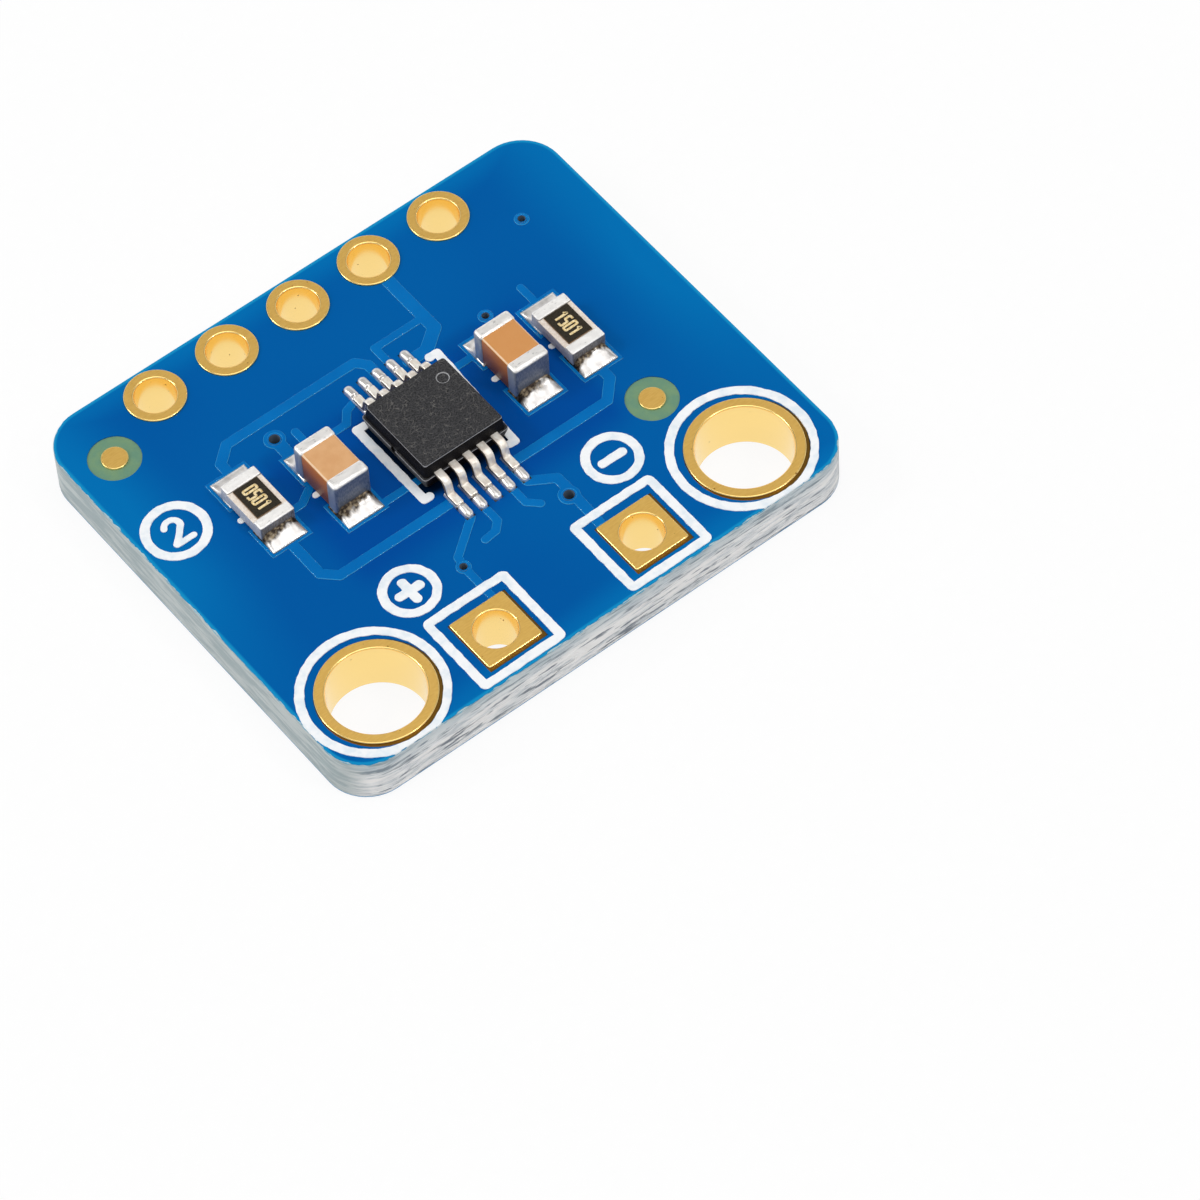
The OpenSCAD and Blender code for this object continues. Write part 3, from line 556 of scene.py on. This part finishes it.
def smooth(value):
    """Smooth step from 0 to 1."""
    value = min(max(value, 0.0), 1.0)
    return value * value * (3 - 2 * value)


# Films on the board: mask, masked tracks and print


def rim_of(node):
    """The rim of a CAD node's flat top, as a mesh of edges alone, and the level that it lies at."""
    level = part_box(node)[1].z
    bm = bmesh.new()
    bm.from_mesh(frame["nodes"][node].data)
    bmesh.ops.remove_doubles(bm, verts=bm.verts, dist=0.2 * UM)
    flat = {f for f in bm.faces if f.normal.z > 0.9 and abs(f.calc_center_median().z - level) < UM}
    rim = {e for e in bm.edges if sum(f in flat for f in e.link_faces) == 1}
    bmesh.ops.delete(bm, geom=bm.faces[:], context="FACES_ONLY")
    bmesh.ops.delete(bm, geom=[e for e in bm.edges if e not in rim], context="EDGES")
    return bm, level


def waver(amount, length):
    """A sideways stray of about an amount, in waves of a length with small notches on them."""
    def stray(co):
        at = Vector((co.x, co.y, 0)) / length
        drift = noise.noise_vector(at) + 0.4 * noise.noise_vector(at * 3)
        return Vector((drift.x, drift.y, 0)) * amount
    return stray


MASK_STRAY = waver(0.007 * MM, 0.25 * MM)
PRINT_STRAY = waver(0.02 * MM, 0.28 * MM)

# Degrees that a rim is turned by for each try at filling it
FILL_TURNS = (13, 29, 51, 71, 37, 5)


def chipped_rim(co):
    """Draws the mask's outer edge in unevenly, as the saw leaves it at the front and on the left."""
    out = Vector((max(abs(co.x) - HALF_W + CORNER_R, 0), max(abs(co.y) - HALF_D + CORNER_R, 0), 0))
    if out.length < CORNER_R - 5 * UM:
        return MASK_STRAY(co)
    inward = Vector((-math.copysign(out.x, co.x), -math.copysign(out.y, co.y), 0)).normalized()
    rough = noise.noise(co / (0.3 * MM)) + 0.8 * noise.noise(co / (0.1 * MM))
    torn = smooth(2 * max(inward.x, inward.y) - 0.2)
    return inward * 0.05 * MM * torn * min(max(0.25 + 1.1 * rough, 0), 1)


def filled(rim):
    """A rim filled with level triangles.

    The operator can tear in a rim with many holes, most of all where edges run along its axes. So it fills a
    copy that is turned by some degrees, and then another, until each edge of the rim bounds one triangle and
    each edge within it two.
    """
    for turn in FILL_TURNS:
        bm = rim.copy()
        bmesh.ops.rotate(bm, cent=(0, 0, 0), matrix=Matrix.Rotation(math.radians(turn), 3, "Z"),
                         verts=bm.verts)
        bmesh.ops.triangle_fill(bm, edges=bm.edges[:], use_beauty=True, normal=Z)
        for v, there in zip(bm.verts, rim.verts):
            v.co = there.co
        bounds = sum(e.is_boundary for e in bm.edges)
        if bounds == len(rim.edges) and all(e.is_boundary or e.is_manifold for e in bm.edges):
            break
    bm.normal_update()
    return bm


def film(name, node, material, stray, shoulder, rise, step):
    """A thin film remade from the rim of a CAD node, which strays a little and has rounded shoulders.

    From its flat it falls over a shallow slope and a steep one, and then straight down to the laminate.
    """
    rim, level = rim_of(node)
    refine(rim, step)
    for v in rim.verts:
        v.co += stray(v.co)
        v.co.x = min(max(v.co.x, -HALF_W), HALF_W)
        v.co.y = min(max(v.co.y, -HALF_D), HALF_D)
        v.co.z = level - rise
    bm = filled(rim)
    for width, height in ((0.6, 0.45), (0.4, 0.55)):
        bmesh.ops.inset_region(bm, faces=bm.faces[:], thickness=shoulder * width, depth=rise * height,
                               use_boundary=True)
    # The insets lift the flat a little unevenly, which would show in its gloss
    for v in bm.verts:
        if v.co.z > level - 0.2 * rise:
            v.co.z = level
    made = bmesh.ops.extrude_face_region(bm, geom=bm.faces[:], use_keep_orig=True)
    for v in made_verts(made):
        v.co.z = LAMINATE_TOP
    bmesh.ops.recalc_face_normals(bm, faces=bm.faces)
    return show(name, bm, material, [node], crease=50)


def make_films():
    """The three films on the top."""
    film("mask_film_top", "top_mask", MASK, chipped_rim,
         shoulder=0.01 * MM, rise=0.005 * MM, step=0.07 * MM)
    film("masked_tracks", "tracks", MASKED_COPPER, MASK_STRAY,
         shoulder=0.035 * MM, rise=0.018 * MM, step=0.07 * MM)
    film("legend_print", "silkscreen", INK, PRINT_STRAY,
         shoulder=0.02 * MM, rise=0.006 * MM, step=0.06 * MM)


# Plated holes and fiducials


FOOT = 0.085 * MM
FOOT_Z = LAMINATE_TOP + 6 * UM


def plating(bore, ring, steps=96):
    """A copper barrel with a ring on each face: its section, rounded at the rims, spun round.

    The top ring has a thin foot that runs out under the mask.
    """
    outside = bore + BARREL_WALL
    section = [(ring + FOOT, FOOT_Z), (ring, FOOT_Z), (ring, PAD_TOP), (bore, PAD_TOP), (bore, 0), (ring, 0),
               (ring, LAMINATE_LOW), (outside, LAMINATE_LOW), (outside, LAMINATE_TOP),
               (ring + FOOT, LAMINATE_TOP)]
    bm, corners = wire([(r, 0, z) for r, z in section], closed=True)
    round_corners(bm, corners[3:5], 0.05 * MM, 5)
    round_corners(bm, [corners[2], corners[5]], 0.035 * MM, 5)
    spin_round(bm, steps)
    return bm


def push_square(bm, inside, power=40):
    """Pushes every vertex outside a radius out from its circle to a square of the same half width."""
    for v in bm.verts:
        radius = math.hypot(v.co.x, v.co.y)
        if radius > inside:
            reach = (abs(v.co.x) ** power + abs(v.co.y) ** power) ** (1 / power)
            v.co.x *= radius / reach
            v.co.y *= radius / reach


def place_gold(bm, node, name):
    """Moves a plating to its node's place and shows it."""
    bmesh.ops.translate(bm, vec=(middle(node).x, middle(node).y, 0), verts=bm.verts)
    show(name, bm, GOLD, [node])


def fiducial(node, name):
    """A gold dot with a rounded rim."""
    half = size(node).x / 2
    bm, corners = wire([(0, 0, LAND_TOP), (half, 0, LAND_TOP), (half, 0, LAMINATE_TOP)])
    round_corners(bm, corners[1:2], 0.03 * MM)
    spin_round(bm, 64)
    place_gold(bm, node, name)


def make_platings():
    """All the gold."""
    for i in range(1, 6):
        node = f"header_hole_{i}"
        place_gold(plating(BORES[node], size(node).x / 2), node, f"header_plating_{i}")
    for side in ("left", "right"):
        node = f"mount_hole_{side}"
        place_gold(plating(BORES[node], size(node).x / 2), node, f"mount_plating_{side}")
        fiducial(f"fiducial_{side}", f"fiducial_dot_{side}")
    for sign in ("plus", "minus"):
        node = f"motor_pad_{sign}"
        bore, half = BORES[f"motor_hole_{sign}"], size(node).x / 2
        bm = plating(bore, half, steps=160)
        push_square(bm, bore + 0.06 * MM)
        place_gold(bm, node, f"motor_plating_{sign}")


# Chip


LEADS = [f"chip_lead_{n}" for n in range(1, 11)]
LEAD_W = size(LEADS[0]).x
LEAD_T = 0.15 * MM
LEAD_SHOULDER = 0.35 * MM
LEAD_FOOT = 0.5 * MM
CHIP_LOW, CHIP_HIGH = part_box("chip_body")
CHIP_AT = middle("chip_body")
CHIP_TOP_W = 2.78 * MM
PARTING_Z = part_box(LEADS[0])[1].z - LEAD_T / 2
PIN_MARK_AT = Vector((0.9 * MM, 1.17 * MM, 0))
PIN_MARK_R = 0.2 * MM


def cut_across(bm, faces, at, direction):
    """Cuts some faces by a plane."""
    parts = dict.fromkeys(faces)
    for f in faces:
        parts.update(dict.fromkeys(f.edges))
        parts.update(dict.fromkeys(f.verts))
    bmesh.ops.bisect_plane(bm, geom=list(parts), plane_co=at, plane_no=direction, dist=0.1 * UM)


def chip_body():
    """The moulded body: a lower half with a narrow ledge round its top, and a tapered upper half on it."""
    half, top_half = (CHIP_HIGH.x - CHIP_LOW.x) / 2, CHIP_TOP_W / 2
    ledge, rim, top = 0.06 * MM, 0.045 * MM, CHIP_HIGH.z
    stages = [(half, PARTING_Z - 0.05 * MM), (half, PARTING_Z - 0.012 * MM), (half - 0.012 * MM, PARTING_Z),
              (half - ledge, PARTING_Z), (top_half, top - rim), (top_half - 0.3 * rim, top - 0.3 * rim),
              (top_half - rim, top), (top_half - 1.4 * rim, top)]
    bm = bmesh.new()
    bmesh.ops.create_grid(bm, x_segments=1, y_segments=1, size=top_half)
    round_corners(bm, bm.verts[:], 0.1 * MM, 4)
    bmesh.ops.translate(bm, vec=(CHIP_AT.x, CHIP_AT.y, CHIP_LOW.z), verts=bm.verts)
    face, width = next(iter(bm.faces)), top_half
    for half_width, level in stages:
        made = pull(bm, [face])
        face = next(item for item in made["geom"] if isinstance(item, bmesh.types.BMFace))
        for v in face.verts:
            v.co.x = CHIP_AT.x + (v.co.x - CHIP_AT.x) * half_width / width
            v.co.y = CHIP_AT.y + (v.co.y - CHIP_AT.y) * half_width / width
            v.co.z = level
        width = half_width
    bmesh.ops.holes_fill(bm, edges=[e for e in bm.edges if e.is_boundary])
    chip_notch(bm, half)
    pin_mark(bm)
    bmesh.ops.recalc_face_normals(bm, faces=bm.faces)
    show("chip_moulding", bm, MOULDED, ["chip_body"], crease=40)


def chip_notch(bm, half):
    """A notch half way along the left side, in the lower half and its ledge."""
    wide, deep, low = 0.1 * MM, 0.07 * MM, PARTING_Z - 0.27 * MM

    def outer_side():
        return [f for f in bm.faces if f.calc_center_median().x < CHIP_AT.x - half + 0.1 * MM
                and f.calc_center_median().z < PARTING_Z + UM]

    for at, direction in (((0, CHIP_AT.y - wide, 0), Y), ((0, CHIP_AT.y + wide, 0), Y), ((0, 0, low), Z)):
        cut_across(bm, outer_side(), at, direction)
    notch = [f for f in outer_side() if abs(f.calc_center_median().y - CHIP_AT.y) < wide
             and f.calc_center_median().z > low]
    pushed = pull(bm, notch)
    bmesh.ops.translate(bm, vec=(deep, 0, 0), verts=made_verts(pushed))


def pin_mark(bm):
    """A round groove near the back right corner of the top."""
    top = max(bm.faces, key=lambda f: (round(f.calc_center_median().z, 7), f.calc_area()))
    rim = top.edges[:]
    bmesh.ops.delete(bm, geom=[top], context="FACES_ONLY")
    centre = PIN_MARK_AT + Z * CHIP_HIGH.z
    circle = bmesh.ops.create_circle(bm, cap_ends=False, segments=40, radius=PIN_MARK_R,
                                     matrix=Matrix.Translation(centre))
    hoop = list(dict.fromkeys(e for v in circle["verts"] for e in v.link_edges))
    bmesh.ops.triangle_fill(bm, edges=rim + hoop, use_beauty=True, normal=Z)
    for inward, down in ((0.03 * MM, 0.018 * MM), (0.03 * MM, -0.015 * MM)):
        made = bmesh.ops.extrude_edge_only(bm, edges=hoop)
        verts = made_verts(made)
        for v in verts:
            flat = Vector((v.co.x - centre.x, v.co.y - centre.y, 0))
            v.co -= flat.normalized() * inward + Z * down
        hoop = [e for e in made["geom"] if isinstance(e, bmesh.types.BMEdge) and set(e.verts) <= set(verts)]
    bmesh.ops.edgeloop_fill(bm, edges=hoop)


def chip_lead(node):
    """A gull-wing lead: a bent strip, thickened, with its edges eased."""
    low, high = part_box(node)
    side = 1 if middle(node).y > CHIP_AT.y else -1
    root, tip = sorted((abs(low.y - CHIP_AT.y), abs(high.y - CHIP_AT.y)))
    foot_z = low.z + LEAD_T / 2
    bend = (CHIP_HIGH.y - CHIP_LOW.y) / 2 + LEAD_SHOULDER
    line = [(root, PARTING_Z), (bend, PARTING_Z), (tip - LEAD_FOOT, foot_z), (tip, foot_z)]
    bm, corners = wire([(low.x, CHIP_AT.y + side * y, z) for y, z in line])
    round_corners(bm, corners[1:2], 0.15 * MM, 6)
    round_corners(bm, corners[2:3], 0.09 * MM, 5)
    made = bmesh.ops.extrude_edge_only(bm, edges=bm.edges[:])
    bmesh.ops.translate(bm, vec=(LEAD_W, 0, 0), verts=made_verts(made))
    bmesh.ops.recalc_face_normals(bm, faces=bm.faces)
    piece = show(f"{node}_strip", bm, TINNED, [node], crease=50)
    thicken = piece.modifiers.new("strip thickness", "SOLIDIFY")
    thicken.thickness = LEAD_T
    thicken.offset = 0
    thicken.use_even_offset = True
    ease = piece.modifiers.new("eased edges", "BEVEL")
    ease.width = 0.04 * MM
    ease.segments = 4
    ease.limit_method = "ANGLE"
    ease.angle_limit = math.radians(50)


# Solder


def mound(name, nodes, low, high, shape, cells, edge):
    """A pool of solder on a rectangle of land: a raised grid with a skirt down to the board.

    For a place, the shape gives the place it moves to sideways, a height over the land, and how dark the
    solder is there. Flux scorched on darkens the small parts' joints, and painted shade darkens the chip's.
    """
    bm = bmesh.new()
    scorched_and_shaded = bm.verts.layers.float.new("flux_and_shade")
    bmesh.ops.create_grid(bm, x_segments=cells[0], y_segments=cells[1], size=0.5)
    span = high - low
    for v in bm.verts:
        u, w = v.co.x + 0.5, v.co.y + 0.5
        x, y = low.x + u * span.x, low.y + w * span.y
        fall = smooth(min(u, 1 - u) * span.x / edge) * smooth(min(w, 1 - w) * span.y / edge)
        beside, lift, v[scorched_and_shaded] = shape(x, y)
        v.co = Vector((beside, y, LAND_TOP + lift * fall))
    rim = [e for e in bm.edges if e.is_boundary]
    skirt = made_verts(bmesh.ops.extrude_edge_only(bm, edges=rim))
    for v in skirt:
        v.co.z = LAMINATE_TOP
    bmesh.ops.holes_fill(bm, edges=[e for e in bm.edges if e.is_boundary])
    bmesh.ops.recalc_face_normals(bm, faces=bm.faces)
    show(name, bm, SOLDER, nodes, crease=75)


def uneven(x, y, length):
    """Gentle unevenness, about one length across."""
    return noise.noise(Vector((x / length, y / length, 3.7)))


def part_joint(part, end):
    """The land and fillet at one end of a capacitor or resistor.

    The fillet is hollow against the part and then falls evenly to the end of the land. Flux is scorched on
    in the hollow, most of all at its left and at the right edge.
    """
    node = f"{part}_solder_{end}"
    low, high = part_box(node)
    side = 1 if end == "back" else -1
    face = low.y if side > 0 else high.y
    reach, climb = high.y - low.y, high.z - low.z
    half = size(f"{part}_terminal_{end}").x / 2
    at = middle(f"{part}_terminal_{end}").x
    far, near = face + side * reach, face - side * 0.45 * MM
    flux_and_shade_weight = 0.2 if side > 0 else 1.0

    def shape(x, y):
        out = side * (y - face) / reach
        left = max(1 - max(out, 0), 0)
        turn = (x - at) / half
        across = abs(turn)
        hollow = 0.55 * left ** 3.5 + 0.45 * left
        flank = 0.35 + 0.65 * smooth((1 - across) / 0.3)
        lift = 0.9 * climb * hollow * flank * smooth(1 + 6 * min(out, 0)) + 0.02 * MM
        tongue = 0.28 - 0.16 * turn + 0.32 * max(turn, 0) ** 3 + 0.2 * uneven(x, y, 0.3 * MM)
        return x, lift, flux_and_shade_weight * smooth(0.5 + (tongue - out) / 0.55)

    mound(f"{part}_joint_{end}", [node, "passive_lands"], Vector((at - half, min(near, far), 0)),
          Vector((at + half, max(near, far), 0)), shape, cells=(24, 34), edge=0.06 * MM)


def chip_joint(n):
    """The land of one chip lead, wetted up the sides of the foot, and the rounded ridge beyond its toe.

    A shallow valley lies between the toe and the ridge. Shade is painted in the valley, more at the front
    ones, and on the flanks of the ridge.
    """
    lead_low, lead_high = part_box(f"chip_lead_{n}")
    side = 1 if n > 5 else -1
    toe = lead_high.y if side > 0 else lead_low.y
    lands_low, lands_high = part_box("chip_lands")
    far = lands_high.y if side > 0 else lands_low.y
    near = toe - side * 0.62 * MM
    half = 0.15 * MM
    at = middle(f"chip_lead_{n}").x
    reach = abs(far - toe)
    flux_and_shade_weight = 0.1 if side > 0 else 0.5

    def shape(x, y):
        out = side * (y - toe) / reach
        across = abs(x - at) / half
        nose = max(side * (y - far) / half + 1, 0)
        narrow = math.sqrt(max(1 - 0.85 * nose ** 2, 0))
        crown = narrow * math.sqrt(max(1 - across ** 2, 0))
        valley = smooth(1 - abs(out - 0.04) / 0.16)
        ridge = 0.15 * MM * (1 - 0.3 * max(out, 0) ** 1.5) * (1 - 0.4 * valley) if out > -0.04 else 0.09 * MM
        # Painted shade in the valley, more at the front joints, and on the flanks of the ridge
        return at + (x - at) * narrow, ridge * crown + 0.015 * MM, flux_and_shade_weight * valley + 0.25 * across ** 4

    mound(f"chip_joint_{n}", ["chip_lands", "chip_solder"], Vector((at - half, min(near, far), 0)),
          Vector((at + half, max(near, far), 0)), shape, cells=(18, 66), edge=0.02 * MM)


# Capacitors and resistors


def eased_block(name, node, material, radius, grow=0.0):
    """A block in a CAD node's box, with all its edges rounded."""
    low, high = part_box(node)
    more = Vector((grow, grow, grow))
    bm = block(low - more, high + more)
    round_edges(bm, bm.edges[:], radius, 5)
    return show(name, bm, material, [node], crease=60)


def capacitor(side):
    """A ceramic block between two plated ends, soldered down."""
    part = f"capacitor_{side}"
    eased_block(f"{part}_ceramic", f"{part}_body", CERAMIC, 0.09 * MM, grow=0.01 * MM)
    for end in ("back", "front"):
        eased_block(f"{part}_cap_{end}", f"{part}_terminal_{end}", PLATED, 0.12 * MM)
        part_joint(part, end)


DIGIT_LINES = {
    "0": [(0, 0), (1, 0), (1, 2), (0, 2), (0, 0)],
    "1": [(0.7, 0), (0.7, 2), (0.1, 1.5)],
    "5": [(1, 2), (0, 2), (0, 1.1), (1, 1.1), (1, 0), (0, 0)],
}
DIGIT_H = 0.43 * MM
DIGIT_W = 0.13 * MM
DIGIT_PITCH = 0.222 * MM
DIGIT_LINE = 0.076 * MM


def marking(part, text):
    """Plain digits that run from the back of the overcoat to the front."""
    node = f"{part}_coat"
    top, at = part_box(node)[1].z, middle(node)
    length = DIGIT_PITCH * (len(text) - 1) + DIGIT_W
    bm = bmesh.new()
    for i, figure in enumerate(text):
        start_y = at.y + length / 2 - i * DIGIT_PITCH
        line = [(at.x + (v - 1) * DIGIT_H / 2, start_y - u * DIGIT_W, top - 3 * UM)
                for u, v in DIGIT_LINES[figure]]
        closed = line[0] == line[-1]
        stroke, corners = wire(line[:-1] if closed else line, closed)
        round_corners(stroke, corners if closed else corners[1:-1], 0.035 * MM, 3)
        drawn = bpy.data.meshes.new("stroke")
        stroke.to_mesh(drawn)
        stroke.free()
        bm.from_mesh(drawn)
        bpy.data.meshes.remove(drawn)
    made = bmesh.ops.extrude_edge_only(bm, edges=bm.edges[:])
    bmesh.ops.translate(bm, vec=(0, 0, 10 * UM), verts=made_verts(made))
    bmesh.ops.recalc_face_normals(bm, faces=bm.faces)
    piece = show(f"{part}_digits", bm, PAINT, [node])
    thicken = piece.modifiers.new("stroke width", "SOLIDIFY")
    thicken.thickness = DIGIT_LINE
    thicken.offset = 0
    thicken.use_even_offset = True


def resistor(side, text):
    """An alumina plate with a glazed top, marked with digits, between two plated ends, soldered down."""
    part = f"resistor_{side}"
    eased_block(f"{part}_plate", f"{part}_substrate", ALUMINA, 0.03 * MM)
    eased_block(f"{part}_glaze", f"{part}_coat", OVERCOAT, 0.015 * MM)
    marking(part, text)
    for end in ("back", "front"):
        eased_block(f"{part}_cap_{end}", f"{part}_terminal_{end}", MATT_PLATED, 0.05 * MM)
        part_joint(part, end)


# Camera, light and floor


CAMERA_AT = Vector((-61.157, -94.661, 153.215)) * MM
CAMERA_AZIMUTH, CAMERA_ELEVATION, CAMERA_ROLL = -34.941, 54.827, -3.892
CAMERA_LENS = 199.966


def make_camera():
    """The photograph's viewpoint."""
    data = bpy.data.cameras.new("camera")
    data.lens = CAMERA_LENS
    data.sensor_width = 36
    data.clip_start = 0.01
    data.clip_end = 10
    camera = bpy.data.objects.new("camera", data)
    bpy.context.scene.collection.objects.link(camera)
    turn = (Matrix.Rotation(math.radians(CAMERA_AZIMUTH), 4, "Z")
            @ Matrix.Rotation(math.radians(90 - CAMERA_ELEVATION), 4, "X")
            @ Matrix.Rotation(math.radians(CAMERA_ROLL), 4, "Z"))
    camera.matrix_world = Matrix.Translation(CAMERA_AT) @ turn
    bpy.context.scene.camera = camera


def seen_directly(tree):
    """1 for rays from the camera, off gloss or through glass, and 0 for the rays that light the object."""
    rays = [add(tree, "LightPath", out=f"Is {kind} Ray") for kind in ("Camera", "Glossy", "Transmission")]
    mirrored = add(tree, "Math", rays[:2], operation="MAXIMUM")
    return add(tree, "Math", [mirrored, rays[2]], operation="MAXIMUM")


def make_world():
    """A pale room with an even light, and a dimmer ceiling in what its gloss and metal mirror."""
    world = bpy.data.worlds.new("studio")
    bpy.context.scene.world = world
    world.use_nodes = True
    tree = world.node_tree
    up = add(tree, "SeparateXYZ", [add(tree, "TexCoord", out="Generated")], out="Z")
    ceiling = add(tree, "MapRange", [up, 0.3, 0.62, 1.0, 0.3], **SMOOTH)
    mirrored = add(tree, "LightPath", out="Is Glossy Ray")
    plain = add(tree, "MapRange", [seen_directly(tree), 0.0, 1.0, 0.42, 1.0])
    strength = add(tree, "Mix", [mirrored, plain, ceiling])
    shader = tree.nodes["Background"]
    put(tree, shader.inputs["Color"], (1, 1, 1, 1))
    put(tree, shader.inputs["Strength"], strength)


def make_softbox(name, direction, width, radiance, distance=0.6):
    """A square softbox that faces the board from a direction."""
    data = bpy.data.lights.new(name, "AREA")
    data.shape = "SQUARE"
    data.size = width
    data.energy = radiance * math.pi * width * width
    lamp = bpy.data.objects.new(name, data)
    bpy.context.scene.collection.objects.link(lamp)
    lamp.location = Vector(direction).normalized() * distance
    lamp.rotation_euler = (-lamp.location).to_track_quat("-Z", "Y").to_euler()


def make_lights():
    """A broad softbox overhead, one on the left, and two small lamps that draw bright lines on edges."""
    make_softbox("softbox_overhead", (0.05, -0.1, 1.0), 0.55, 1.6)
    make_softbox("softbox_left", (-0.72, 0.42, 0.55), 0.3, 3.0)
    make_softbox("edge_lamp_front", (0.32, -0.62, 0.72), 0.07, 25)
    make_softbox("edge_lamp_left", (-0.56, 0.5, 0.66), 0.06, 25)


FLOOR_HALF = 0.6
FLOOR_GAP = 2 * UM


def make_floor():
    """White paper that shows as the white background and keeps a trace of the board's shadow.

    It lies a hair below the rings that the board stands on.
    """
    material, tree, place = start("white_paper_floor")
    grit = cloud(tree, place, 0.4 * MM)
    paper = add(tree, "BsdfDiffuse", {"Color": add(tree, "Mix", [grit, srgb("#F4F4F4"), srgb("#F8F8F8")],
                                                   **COLOUR)})
    glow = add(tree, "Emission", {"Color": (1, 1, 1, 1), "Strength": 1.0})
    share = add(tree, "MapRange", [seen_directly(tree), 0.0, 1.0, 0.0, 0.9])
    mixed = add(tree, "MixShader", [share, paper, glow])
    put(tree, tree.nodes["Material Output"].inputs["Surface"], mixed)
    bm = bmesh.new()
    bmesh.ops.create_grid(bm, x_segments=1, y_segments=1, size=FLOOR_HALF)
    mesh = bpy.data.meshes.new("floor")
    bm.to_mesh(mesh)
    bm.free()
    mesh.materials.append(material)
    mesh.transform(Matrix.Translation((0, 0, -FLOOR_GAP)))
    floor = bpy.data.objects.new("floor", mesh)
    bpy.context.scene.collection.objects.link(floor)


MASK = solder_mask()
MASKED_COPPER = masked_copper()
GOLD = immersion_gold()
INK = legend_ink()
LAMINATE = laminate()
MOULDED = moulding_compound()
TINNED = tinned_strip()
SOLDER = solder()
PLATED = plated_end("barrel_plated_tin", "#FAF7F3", "#A6AEB9", "#666E7C", metallic=0.5)
MATT_PLATED = plated_end("matt_tin_plate", "#FFFDFA", "#BFBDBA", "#6C6663", metallic=0.25)
CERAMIC = capacitor_ceramic()
ALUMINA = alumina()
OVERCOAT = overcoat()
PAINT = marking_paint()

make_camera()
make_world()
make_lights()
make_floor()
bpy.context.scene.view_settings.view_transform = "Standard"

dress("pcb_laminate", LAMINATE)
dress("bottom_mask", MASK)
dress("vias", MASKED_COPPER)
make_films()
make_platings()
chip_body()
for lead in LEADS:
    chip_lead(lead)
for number in range(1, 11):
    chip_joint(number)
for where, digits in (("left", "0501"), ("right", "1501")):
    capacitor(where)
    resistor(where, digits)
